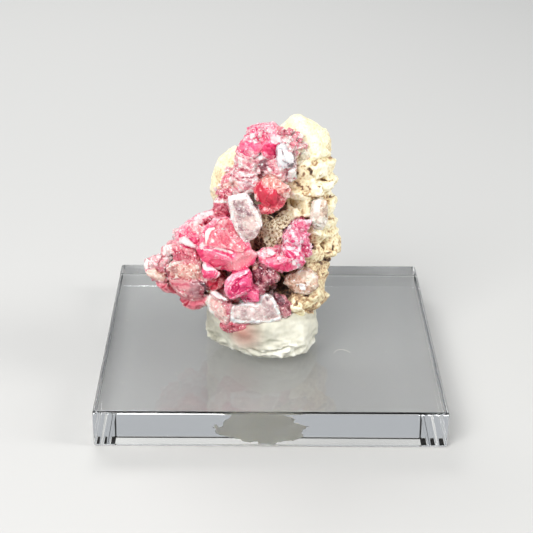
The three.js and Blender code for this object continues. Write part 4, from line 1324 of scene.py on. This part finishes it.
CRYSTAL_FACETS = (
    # the crest and its clear crystal
    Facet("239,143 247,131 252,127 256,127 250,131 247,137 242,144", 0.15),
    # painted glints on the crest's knobs
    Facet("249,134 254,133 256,137 252,139", 0.7, lift=0.1),
    Facet("253,140 256,139 258,142 254,143.5", 0.65),
    Facet("258,132 263,131 262,137 258,138", 0.55, lift=0.1),
    Facet("239,146 247,142 256,143 264,141 270,143 268,148 258,150 247,151 240,150", -0.02, clean=0.9),
    Facet("264,145 272,142 277,145 277,156 270,156 265,152", -0.3, clean=1.0, tilt=(0.0, -0.2)),
    Facet("265,148 271,149 272,151 267,151", -0.2),
    Facet("275,144 277,144 277,156 275.5,156", -0.25),
    Facet("270,137 279,134 281,141 276,144 271,142", 0.5, clean=0.5, tilt=(0.0, 0.2)),
    Facet("262,136 270,130 272,138 266,142", -0.02),
    Facet("262,128 268,125 273,125 275,131 268,134", 0.15),
    Facet("282,132 291,132 293,137 299,141 302,150 295,152 290,150 285,145 282,140", -0.02),
    Facet("298,150 304,147 310,154 307,166 299,170 296,160", 0.12, cream=1.0, lift=-0.35, clean=0.8, edge=1.2),
    Facet("285,139 287,138 287.5,141 285.5,141.5", 0.6),
    Facet("290,139 292,139 292,142.5 290,142", 0.6),
    Facet("287,143 289,145 288,147", 0.5),
    Facet("293,146 295,147 294,149", 0.6),
    Facet("277,146 283,145 286,150 291,153 295,157 293,162 288,165 283,166 279,163 277,157", 0.45, clean=0.7),
    Facet("282,151 283.5,150.5 284,153 282.5,155", -0.2, smoke=0.7),
    Facet("283,160 289,163.5 288,164.5 282.5,161.5", -0.4, smoke=0.5),
    Facet("286,164 293,162 296,158 297,160 294,166 297,167 292,168 287,167", -0.16, smoke=0.8),
    # the upper slope
    Facet("260,160 266,159 268,166 266,171 261,170 258,165", -0.25, smoke=0.6),
    # painted glints
    Facet("261,163.5 263,163 263,165.5 261,165.5", 0.8),
    Facet("258,156 263,155 263,159 259,159", 0.6, lift=0.1),
    Facet("267,159 273,163 275,169 268,170", -0.2),
    Facet("270,166 279,168 279,177 272,175", -0.22),
    Facet("288,171 293,169 297,172 297,177 293,178 288,177", 0.6, clean=0.6, lift=0.15),
    Facet("290,179 294,180 293,184 290,183", 0.5),
    # painted shade
    Facet("286,168 290,170 289,178 286,176", -0.1, smoke=0.4),
    Facet("240,169 252,169 253,171 241,171", -0.25),
    Facet("243,176.5 252,177 255,174.5 256,176 252,178.5 243,178", -0.35, smoke=0.5),
    Facet("238,157 242,157 242,168 239,168", 0.35),
    Facet("253,166 258,164 258,168 254,168", 0.45),
    # the left column
    Facet("219,192 230,188 236,192 229,196 226,200 219,200", -0.12),
    # a painted glint
    Facet("222,194 225,193.5 227,196 224,199", 0.35),
    Facet("213,203 222,203 229,204 231,214 229,219 224,216 216,216 213,211", -0.2, clean=0.4),
    Facet("213,208 219,210 219,216 215,214", 0.15),
    Facet("224,213 229,209 231,219 228,217", -0.25),
    Facet("213,201 222,200 228,203 222,203 214,203", 0.35, lift=0.1),
    Facet("223,183 236,181 238,187 231,189 221,188", 0.02, cream=0.35),
    Facet("222,184.5 231,182.5 231,183.5 222,186", 0.3),
    Facet("222,187.5 231,186 231,187 222,188.7", 0.25),
    Facet("243,181 253,181 254,187 247,189 242,186", -0.08, smoke=0.35),
    # the pale tablet
    Facet("228,197 232,196 233,210 236,222 240,232 245,239 242,239 236,230 231,220 229,205", 0.3, lift=0.08),
    Facet("229,196 241,192 251,194 250,199 240,199 231,200", 0.35, clean=0.3, tilt=(0.0, 0.25)),
    Facet("248,199 251,199 257,211 262,217 263,223 259,228 257,223 254,213 250,207", 0.25),
    Facet("233,201 243,201 244,208 238,209 234,207", -0.14, smoke=0.3),
    Facet("236,211 241,212 242,222 242,230 239,230 238,220", -0.08, smoke=0.2, edge=1.6),
    Facet("235,208 241,209 247,210 250,214 254,216 250,216.5 244,213 238,211", -0.2, smoke=0.4, edge=1.0),
    Facet("242,217 256,216 262,220 259,228 250,231 243,230", 0.05, cream=0.15, clean=0.6, edge=1.5),
    Facet("242,230 256,230.5 257,231.5 242,231", -0.12, smoke=0.2),
    Facet("241,231 256,231 257,236 250,241 246,240", 0.05, tilt=(0.0, -0.25)),
    # the red crystal and the shards below it
    Facet("256,187 261,182 264,187 268,189 272,188 277,192 279,200 276,206 268,207 261,202 257,196", -0.2,
          clean=1.0),
    # a painted highlight
    Facet("259.5,188 261,188.5 261,191.5 259.5,191", 0.5),
    Facet("262,176 270,174 280,177 290,183 293,192 288,198 281,196 275,190 268,188 264,184 261,180", 0.12,
          cream=0.35, clean=0.3, tilt=(0.0, 0.15)),
    Facet("261,201 268,205 277,207 278,209 270,208 262,204", 0.12, clean=1.0, lift=0.08),
    Facet("280,195 289,192 288,200 280,201", 0.25),
    Facet("277,192 281,190 283,197 281,200 285,205 280,206 277,203", -0.2, smoke=0.2),
    Facet("283,189 291,187 290,190 284,193", -0.2, smoke=0.3),
    Facet("261,209.5 268,208 276,209 272,211.5 264,211.5", 0.16, clean=0.3),
    # painted shade between the tablet and the red crystal
    Facet("251,199 256,199 260,208 257,210 253,204", -0.1, smoke=0.9),
    Facet("251,193 256,194 257,198 252,198", 0.45),
    # the great pink crystal
    Facet("204,246 205,232 209,229 216,225 220,219 226,217 231,222 236,232 243,241 246,248 243,252 236,252 "
          "228,249 214,247", -0.02, cream=0.25, clean=0.05, lift=0.05, tilt=(0.0, 0.12)),
    # a painted highlight along the narrow edge that faces up and left
    Facet("205,243 205,232 208,229 215,227 216,229 211,231 209,236 208,240 206,244", 0.65, clean=0.8, lift=0.12),
    Facet("199,244 203,242 205,247 201,249 199,247", 0.5),
    Facet("202,252 206,249 213,250 222,253 230,256 236,258 230,262 225,266 214,266 206,262 201,258", 0.04,
          clean=0.9, edge=2.5),
    Facet("213,247.3 222,248 228,250 234,253.5 232,254.3 226,251.5 213,248.8", 0.5, lift=0.06),
    Facet("204,249 212,249.5 212,251 204,250.5", 0.45, lift=0.08),
    Facet("216,251.7 222,254 230,256.5 229,257.6 222,255.2 216,252.7", 0.3, lift=0.04),
    Facet("213,250 224,252.2 234,255.5 236,257 228,256 216,251.5", -0.08),
    Facet("197,250 203,249 204,256 201,259 197,255", -0.3, clean=1.0, lift=-0.1),
    Facet("236,252 246,250 254,247 257,254 253,259 248,264 240,269 230,271 225,268 229,262 235,258", 0.12,
          cream=0.2, clean=0.8, edge=2.5),
    Facet("202,257 210,263 222,268 232,271 242,269 250,262 256,255 258,258 252,266 243,272 230,274 218,271 "
          "207,266 201,260", -0.14, clean=0.5, edge=1.2),
    Facet("211,239 213,239 214,242 211,243", 0.35),
    Facet("230,244 233,244.5 233,246 230,246", 0.4),
    # the glassy crystal
    Facet("202,264 206,262 207,267 212,268 222,266 220,270 212,271 205,271", 0.45, clean=1.0, tilt=(0.0, 0.2)),
    Facet("204,272 212,271 214,277 206,278 202,275", -0.16, clean=1.0),
    # a painted glint along the left edge
    Facet("203,262 206,262 206,270 203.5,270", 0.5, clean=1.0),
    # the shoulder and the thumb
    # a painted highlight on the top edge
    Facet("194,220 194.5,216 203,213 212,211 213,214 206,218 200,220", 0.6, clean=0.5),
    Facet("180,238 184,236 188,238 193,244 197,248 190,247 182,244 180,242", 0.75, clean=1.0, lift=0.15),
    Facet("190,222 200,221 205,224 204,230 200,234 193,233 190,228", 0.16, cream=0.2),
    Facet("190,235 197,238 198,246 193,243 189,238", -0.15, lift=-0.1),
    Facet("176,231 180,226 186,223 190,224 184,228 180,233 179,240 177,240", 0.15),
    # a painted gloss highlight on the thumb's left
    Facet("162,248 166,245 171,244 172,247 170,250 172,257 163,256", 0.44, smoke=0.25, clean=0.7),
    Facet("170,248 172,247 173,256 170.5,256", 0.45, clean=1.0),
    Facet("174,246 180,244 197,249 199,256 196,260 185,259 176,262 173,256", -0.12),
    # a painted glint
    Facet("175,247 177,247 177,251 175,251", 0.55, clean=1.0),
    # the tip
    Facet("143,265 146,259 148,260 149,268 145,270", 0.5, clean=1.0),
    Facet("149,258 160,256 170,258 168,263 160,268 150,268", 0.15),
    Facet("146,271 155,268 160,273 166,277 164,281 155,280 148,275", 0.2, cream=0.6, clean=0.4, lift=0.1),
    Facet("155,268 160,271 167,275 166,276 158,273", -0.35, cream=0.5),
    Facet("155,282 163,281 168,284 172,290 163,287 156,285", -0.12, clean=0.5),
    # the arm
    Facet("168,264 176,262 180,261 181,262 174,265 168,268", 0.4, cream=0.3, lift=0.1),
    Facet("168,266 182,264 197,264 200,270 199,280 180,278 172,277 168,272", 0.06, cream=0.45, edge=1.5),
    # painted shade, and deeper painted shade in a notch
    Facet("168,266 176,267 178,272 174,274 168,270", -0.15, smoke=0.35, edge=1.5),
    Facet("166,271 170,272 169,278 166,277", -0.3, smoke=0.5, lift=-0.15),
    Facet("169,281 180,280 198,281 200,288 199,298 190,301 180,298 177,293 172,287", 0.1, smoke=0.12, clean=0.8,
          tilt=(0.0, -0.08)),
    Facet("172,283 180,284 188,284 191,287 188,286 180,285.5 172,284.5", -0.25),
    Facet("190,282 199,281 205,283 207,292 203,298 197,298 190,294", -0.04, smoke=0.42, edge=2.0),
    Facet("169,281 178,293 190,301 186,306 172,295 165,287", -0.06, clean=0.4, tilt=(-0.3, -0.15)),
    Facet("180,299 190,302 200,301 207,298 208,300 202,305 198,307 192,309 186,306 181,302", -0.16, clean=1.0),
    Facet("156,285 164,288 170,285 175,292 178,297 171,295 167,290 158,289", -0.08, clean=0.5),
    # painted shade in the dark corner
    Facet("200,281 209,281 209,296 205,297 204,288 200,285", -0.25, smoke=0.5),
    # a painted glint
    Facet("176,274 179,278 175,278", 0.6, clean=1.0),
    Facet("196,265 198.5,265 198.5,268.5 196,268.5", 0.6),
    # a painted glint
    Facet("204,279 207,279 207,281 204,281", 0.6),
    # the cup
    Facet("224,284 226,278 233,273 242,270 249,270 248,274 240,277 234,281 230,286 227,291 229,297 226,297 "
          "223,292", 0.24, clean=0.4, lift=0.12),
    Facet("238,279 247,274 248,275 242,279 236,284 232,288 231,287", -0.2, lift=-0.08),
    Facet("233,286 236,283 238,283 239,287 237,292 234,293 231,291", -0.34, clean=1.0, lift=-0.2),
    Facet("238,280 248,276 252,280 252,288 247,292 240,293 238,288", -0.04, clean=1.0, tilt=(0.15, 0.0)),
    Facet("232,297 240,294 246,290 248,293 242,296 234,299 229,299", 0.2, clean=0.6, lift=0.12),
    Facet("247,292 254,289 259,293 258,300 252,301 248,297", 0.04, clean=1.0),
    Facet("226,290 232,292 232,297 228,296", -0.12, clean=0.7),
    # the hollow and the foot
    Facet("206,281 216,281 218,285 215,290 208,290 206,286", -0.3, clean=0.8),
    Facet("211,292 214,291 219,292 224,296 228,300 224,301 217,298 211,294", 0.6, clean=0.6, lift=0.2),
    Facet("208,295 212,296 218,300 222,303 226,310 228,318 225,324 219,320 212,316 205,312 201,309 207,303",
          0.22, cream=0.3, clean=0.5),
    Facet("222,303 230,306 229,315 227,321 224,312", -0.1),
    Facet("208,295 211,296 209,304 213,313 218,321 214,318 208,311 205,305", 0.35, edge=1.2),
    Facet("213,316 219,321 223,325 222,326 216,321 212,317.5", -0.4, lift=-0.1),
    Facet("201,310 206,313 211,316 210,318 205,316", -0.25, smoke=0.3),
    Facet("233,306 241,304 258,305 262,297 268,297 275,303 279,317 268,320 250,321 236,320 232,314", 0.0,
          clean=0.55),
    Facet("231,316 235,320 250,321 270,320 280,317 280,320 270,322.5 235,323 230,319", 0.35, lift=0.1),
    Facet("231,308 234,306 234,317 231,316", 0.3),
    Facet("233,306 241,303.5 258,305 258,307 241,306", 0.3, lift=0.08),
    Facet("271,297 276,303 281,317 279,317 274,305 270,299", 0.3, lift=0.08),
    Facet("258,305 260,296 266,295 263,298 261,306", 0.25),
    Facet("240,310 247,309 248,316 241,317", -0.14, smoke=0.35, edge=2.0),
    Facet("232,308 238,308 238,312 233,312", -0.08, smoke=0.25, edge=1.5),
    Facet("264,300 274,306 277,316 266,317 263,308", -0.1, smoke=0.3, edge=2.0),
    Facet("265,296 269,297.5 268,301 265,299", -0.3, smoke=0.6),
    # the mauve crystals
    Facet("251,271 256,268 259,275 258,288 253,289 252,280", -0.05, smoke=0.2),
    Facet("257,264 262,263 263,275 262,284 259,284 259,274", -0.3, lift=-0.1),
    Facet("250,269 255,265 259,263 257,268 251,271", 0.1, cream=0.5, lift=0.1),
    Facet("262,271 268,269 276,273 280,277 276,282 268,282 263,280", 0.08),
    Facet("259,285 264,287 265,291 262,295 259,293", -0.1),
    Facet("272,294 280,294 285,300 284,306 280,306 275,300", -0.2, smoke=0.5),
    Facet("281,308 285,306 289,312 289,316 283,319", 0.15),
    # the right blade and the right druse
    Facet("257,254 262,249 268,248 276,252 272,257 262,259 259,257", 0.28, tilt=(0.0, 0.2)),
    Facet("262,260 270,258 280,258 288,260 284,264 272,264 266,263", 0.12, clean=0.6),
    Facet("268,264 280,264 280,270 275,269 270,266", -0.26, clean=1.0, tilt=(0.0, -0.3)),
    Facet("280,264 290,262 292,268 285,271 280,270", -0.1, clean=0.7),
    Facet("291,229 297,224 303,219 306,221 305,230 303,238 297,236 292,232", 0.02, smoke=0.18, clean=0.5),
    # a painted glint
    Facet("291,232 294,232 295,237 292,237", 0.75, clean=1.0),
    Facet("283,243 288,238 296,236 300,242 297,250 288,249", 0.08),
    # painted glints, down to the deep magenta
    Facet("285,245 290,247.5 295,247 294,249 289,249.5", 0.7, lift=0.1),
    Facet("297,250 299,245 301,247 300,252", 0.75, clean=1.0),
    Facet("300,240 302.5,240 303,243 300.5,243", 0.7, clean=1.0),
    Facet("286,240 288,239.5 288.5,242 286,242.5", 0.6, clean=1.0),
    Facet("300,257 303,257 303,260 300,260", 0.55, clean=1.0),
    Facet("294,252 298,252 299,256 296,255", 0.6, clean=1.0),
    Facet("291,261 295,261 296,265 293,265", 0.7, clean=1.0),
    Facet("281,252 283,252 283,256 281,256", 0.6, clean=1.0),
    Facet("284,249 289,250 297,256 296,259 289,258 285,255", -0.35, clean=0.6),
    Facet("304,243 311,252 311,256 306,257 303,250", -0.06),
    Facet("298,262 304,262 305,266 300,267", -0.25),
    # the peach crystal and the milky prism
    Facet("284,278 288,277 293,279 294,286 291,288 286,285", -0.05, clean=0.4),
    Facet("296,272 304,270 314,273 315,284 308,283 300,281 296,277", 0.2, cream=0.3, clean=0.7, edge=1.5),
    # painted glints on the peach crystal
    Facet("299,284 305,284 306,290 302,290 299,287", 0.6, clean=1.0, lift=0.12),
    Facet("306,282 309,281.5 310,285 307,286", 0.45, clean=1.0, lift=0.1),
    Facet("306,271 314,274 317,280 316,289 310,290 306,284", 0.22, cream=0.5, edge=1.5),
    Facet("312,203 316,199 321,199 320,212 314,213", 0.3, clean=0.6),
    Facet("320,199 328,199 327,220 320,215", -0.08, cream=0.5),
)

ROCK_FACETS = (
    Facet("250,192 257,193 261,203 259,208 254,206 251,199", 0.25, smoke=0.3),
    # the grainy patch, and painted shade in the dark recesses between and under the crystals
    Facet("263,226 270,218 281,210 290,208 297,218 296,226 289,231 282,238 276,247 270,248 264,238", 0.03,
          smoke=0.3, edge=1.5),
    Facet("260,229 267,228 266,234 269,241 264,240 261,235", 0.24, lift=0.15),
    Facet("266,217 271,212 279,208 284,203 288,202 288,208 286,211 279,212 273,218 268,223", -0.4, smoke=0.8),
    Facet("254,243 257,236 262,239 267,246 262,250 256,252", -0.26, smoke=0.6, lift=-0.15, edge=1.2),
    Facet("264,293 267,288 274,285 280,281 281,275 284,278 286,284 289,287 292,290 292,296 286,300 284,297 "
          "280,294 270,294", -0.26, smoke=0.55, edge=1.2),
    Facet("283,272 291,272 298,275 290,277 284,277", -0.25, smoke=0.5, lift=-0.2),
    # the cream top, with a few grey flecks
    Facet("275,125 290,115 303,118 322,131 331,150 330,160 300,160 296,140 284,131", 0.06, edge=3.0),
    Facet("292,128 296,129 297,131 293,130", -0.2, smoke=0.4),
    Facet("297,134 302,135 307,136 306,138 299,137.5", -0.22, smoke=0.3),
    Facet("310,143 316,141.5 316,144 311,145.5", -0.2),
    Facet("303,158 306,157.5 306,159 303,159.5", -0.25),
    Facet("321,158.5 324,159.5 323,161.5 321,160", -0.25),
    # the pitted middle
    Facet("286,164 293,162 296,158 297,160 294,166 297,167 292,168 287,167", -0.4, smoke=0.7, lift=-0.15),
    Facet("301,165.5 306,165 306,167 301,167", -0.3),
    Facet("306,169 310,168 313,172 313,176 310,174", -0.36, smoke=0.4, lift=-0.1),
    Facet("297,171 300,171.5 299,173.5 297,173", -0.4, lift=-0.1),
    Facet("301,175.5 304,173 305,174.5 302,176.5", -0.35),
    Facet("295,181 300,182 301,186 297,186", -0.35, smoke=0.3, lift=-0.1),
    Facet("301,186 304,186 304,190 302,190", -0.4, lift=-0.1),
    Facet("305,184.5 310,186 313,190 311,190 307,187", -0.3, lift=-0.1),
    Facet("314,165 318,162 318,164.5 315,167", -0.25, smoke=0.3),
    Facet("319,174 322,173 322,177 319,177", -0.3, smoke=0.4),
    # the ledges, with painted shade in the gaps below them
    Facet("315,179 322,178.5 329,179.5 336,180.5 330,181 320,180.5", -0.15, lift=-0.3),
    Facet("302,193 309,192.5 309,195.5 303,195.5", -0.3, lift=-0.1),
    Facet("303,194 310,196 318,196.3 324,196.4 331,195.5 338,196 331,197.7 318,198 308,197.5", -0.12, lift=-0.3),
    Facet("326,156.5 331,157.5 334,160 330,160 326,158", -0.18, lift=-0.2, edge=1.0),
    Facet("312,167 320,164 330,166 334,172 333,178 328,179 316,178.5 313,174", 0.14, lift=0.25, edge=1.2),
    Facet("313,183 320,181 334,182 336,190 337,196 328,196.5 318,198 312,193", 0.1, lift=0.3, edge=1.2),
    Facet("328,170 333,170 334,176 331,180 328,178", -0.15, edge=1.2),
    Facet("290,193 300,191 310,194 313,205 312,215 304,219 296,216 292,207", 0.07, lift=0.35, edge=1.6),
    Facet("296,218 307,216.5 314,219 307,220.5 297,220.5", -0.25, smoke=0.6, lift=-0.2, edge=1.0),
    Facet("296,203 299,203 299,205.5 296,205", -0.3),
    Facet("298.5,199.5 301,199.5 301,201.5 299,201.5", -0.3),
    Facet("302,204 309,204 309,208 303,208", -0.12, edge=1.2),
    Facet("317,185 320,184.5 320,187 318,188", -0.35, lift=-0.1),
    Facet("293,290 304,290 305,298 297,299 293,295", -0.14, lift=0.1, edge=1.2),
    Facet("309,202 313,202 311,208 309,207", -0.3, smoke=0.4),
    Facet("325,199 332,200 330,209 326,210", -0.12, edge=1.5),
    Facet("326,217 333,217 330,220 326,220", -0.2, lift=-0.25, edge=1.0),
    Facet("311,225 322,226 321,236 313,234", 0.22, lift=0.2, edge=2.0),
    # the knob
    Facet("324,234 331,234 336,240 340,248 337,256 330,259 324,255", 0.05, lift=0.2, edge=1.5),
    Facet("332,244 335,246 334,250 332,250", -0.4, lift=-0.15),
    Facet("326,252 331,251 332,254 327,255", -0.3, lift=-0.15),
    Facet("324,257 331,259 334,260 328,262 323,259", -0.3, smoke=0.4, lift=-0.2),
    Facet("306,232 311,238 313,250 308,247 305,240", -0.2, edge=1.5),
    Facet("310,243 316,246 316,250 311,250", -0.35, smoke=0.5, lift=-0.2),
    Facet("317,259 322,262 324,266 318,263", -0.3, lift=-0.15),
    # the lower lumps
    Facet("294,293 303,293 305,300 298,304 293,299", 0.05, lift=0.4, edge=1.6),
    Facet("287,301 292,298 298,303 303,302 303,309 294,313 290,308", 0.2, lift=0.5, edge=1.6),
    Facet("309,300 317,296 319,304 312,309 306,308 304,302", 0.12, lift=0.25, edge=2.0),
    Facet("295,301 298,301 297,305 293,306", -0.3, lift=-0.2),
    Facet("303,291 310,292 309,299 305,296", -0.25, smoke=0.3, lift=-0.2, edge=1.2),
    Facet("317,277 322,281 324,290 323,300 319,302 317,292", 0.12, lift=0.15, edge=1.5),
    Facet("316,284 318,286 317,289 315.5,287", -0.25),
)

# Painted shade on the pad: darker at its left edge, along its bottom and under the stone; one paler raised lip.
TACK_FACETS = (
    Facet("204,316 214,322 220,334 228,346 220,350 208,338", -0.2, edge=3.0),
    Facet("222,348 234,352 252,357 268,357 262,361 240,360 224,354", -0.18, edge=2.0),
    Facet("284,312 300,308 316,310 316,318 296,322 284,318", -0.18, edge=2.0),
    Facet("262,351 275,351 288,346 296,343 299,346 288,354 272,359 262,357", 0.15, lift=0.3, edge=1.2),
    Facet("232,326 246,323 262,326 256,338 240,341", -0.14, edge=3.0),
    Facet("255,326 285,318 290,324 262,334", -0.16, edge=3.0),
    Facet("262,338 290,330 300,335 282,345 262,346", -0.06, lift=-0.12, edge=3.0),
)


# ---- The whole object -------------------------------------------------------------------------


CLUSTERS = (
    CrystalCluster("great_pink_crystal", Finish.HOT_PINK, 11, SPARSE, voxel=0.09, mosaic=0.08, block=1.6, tone=0.47,
                   swell=0.1, reach=1.5, meet=0.55),
    CrystalCluster("cup_crystal", Finish.MAGENTA, 12, SPARSE, tone=0.42, voxel=0.09, mosaic=0.05),
    CrystalCluster("glassy_crystal", Finish.HOT_PINK, 13, SPARSE, voxel=0.08, mosaic=0.06, reach=1.5, meet=0.7),
    CrystalCluster("pale_tablet", Finish.MILKY, 14, SPARSE, voxel=0.09, mosaic=0.06, tone=0.4),
    CrystalCluster("red_crystal", Finish.RED, 15, SPARSE, voxel=0.09, mosaic=0.14, tone=0.46, swell=0.14),
    CrystalCluster("clear_crystal", Finish.CLEAR, 16, SPARSE, voxel=0.08, mosaic=0.3, block=1.3, tone=0.36),
    CrystalCluster("crest_crystals", Finish.HOT_PINK, 17, EDGED, tone=0.47, swell=0.14, reach=1.5, meet=0.6,
                   weld=0.4),
    CrystalCluster("crest_druse", Finish.CORAL, 18, SPARKLE, tone=0.59),
    CrystalCluster("upper_crystals", Finish.PALE_PINK, 19, EDGED, tone=0.53, swell=0.12, reach=1.3, meet=0.5,
                   layers=0.5),
    CrystalCluster("left_column_crystals", Finish.CORAL, 20, EDGED, tone=0.48, layers=0.45),
    CrystalCluster("shoulder_crystals", Finish.HOT_PINK, 21, SPARSE, block=1.6, tone=0.53, mosaic=0.12,
                   weld=0.4, swell=0.12),
    CrystalCluster("thumb_crystals", Finish.CORAL, 22, SPARSE, block=1.6, tone=0.42, weld=0.4),
    CrystalCluster("tip_crystals", Finish.PALE_PINK, 23, SPARSE, block=1.6, tone=0.47, weld=0.4, layers=0.5),
    CrystalCluster("arm_crystals", Finish.ROSE, 24, SPARSE, tone=0.46, weld=0.5, swell=0.12),
    CrystalCluster("arm_back_crystals", Finish.PALE_PINK, 25, DRUSE, mosaic=0.28, block=1.8, seen=False),
    CrystalCluster("foot_bar_crystals", Finish.MILKY, 26, SPARSE, tone=0.45, mosaic=0.08),
    CrystalCluster("foot_left_crystals", Finish.PALE_PINK, 27, SPARSE, tone=0.42, mosaic=0.1),
    CrystalCluster("hollow_red_crystals", Finish.RED, 28, EDGED, tone=0.45, reach=1.5, meet=0.6),
    CrystalCluster("foot_red_crystal", Finish.ROSE, 29, SPARSE, tone=0.34, mosaic=0.06),
    CrystalCluster("foot_right_crystal", Finish.MAUVE, 30, SPARSE, tone=0.38),
    CrystalCluster("mauve_crystals", Finish.MAUVE, 31, EDGED, tone=0.41, block=1.6),
    CrystalCluster("right_blade_crystals", Finish.HOT_PINK, 32, EDGED, tone=0.48),
    CrystalCluster("right_druse_crystals", Finish.MAGENTA, 33, EDGED, tone=0.54, mosaic=0.22, block=0.9),
    CrystalCluster("milky_prism", Finish.CREAMY, 34, SPARSE, mosaic=0.06, tone=0.46),
    CrystalCluster("peach_crystal", Finish.PEACH, 35, SPARSE, tone=0.38, block=1.6, reach=1.5, meet=0.7),
    CrystalCluster("rear_crystals", Finish.PALE_PINK, 36, DRUSE, mosaic=0.3, block=1.8, seen=False),
)


def main() -> None:
    """Build the specimen, its stand and the studio."""
    logging.basicConfig(level=logging.INFO, format="%(name)s: %(message)s")
    materials = {finish: finish.value.material() for finish in Finish}
    small = SmallCrystals()
    for cluster in CLUSTERS:
        cluster.build(small, materials)
    rock = HostRock()
    rock.build()
    BedDruse().build(rock, small, materials)
    TackPad().build()
    Slab().build()
    SettledDust().build()
    Studio().build()


if __name__ == "__main__":
    main()
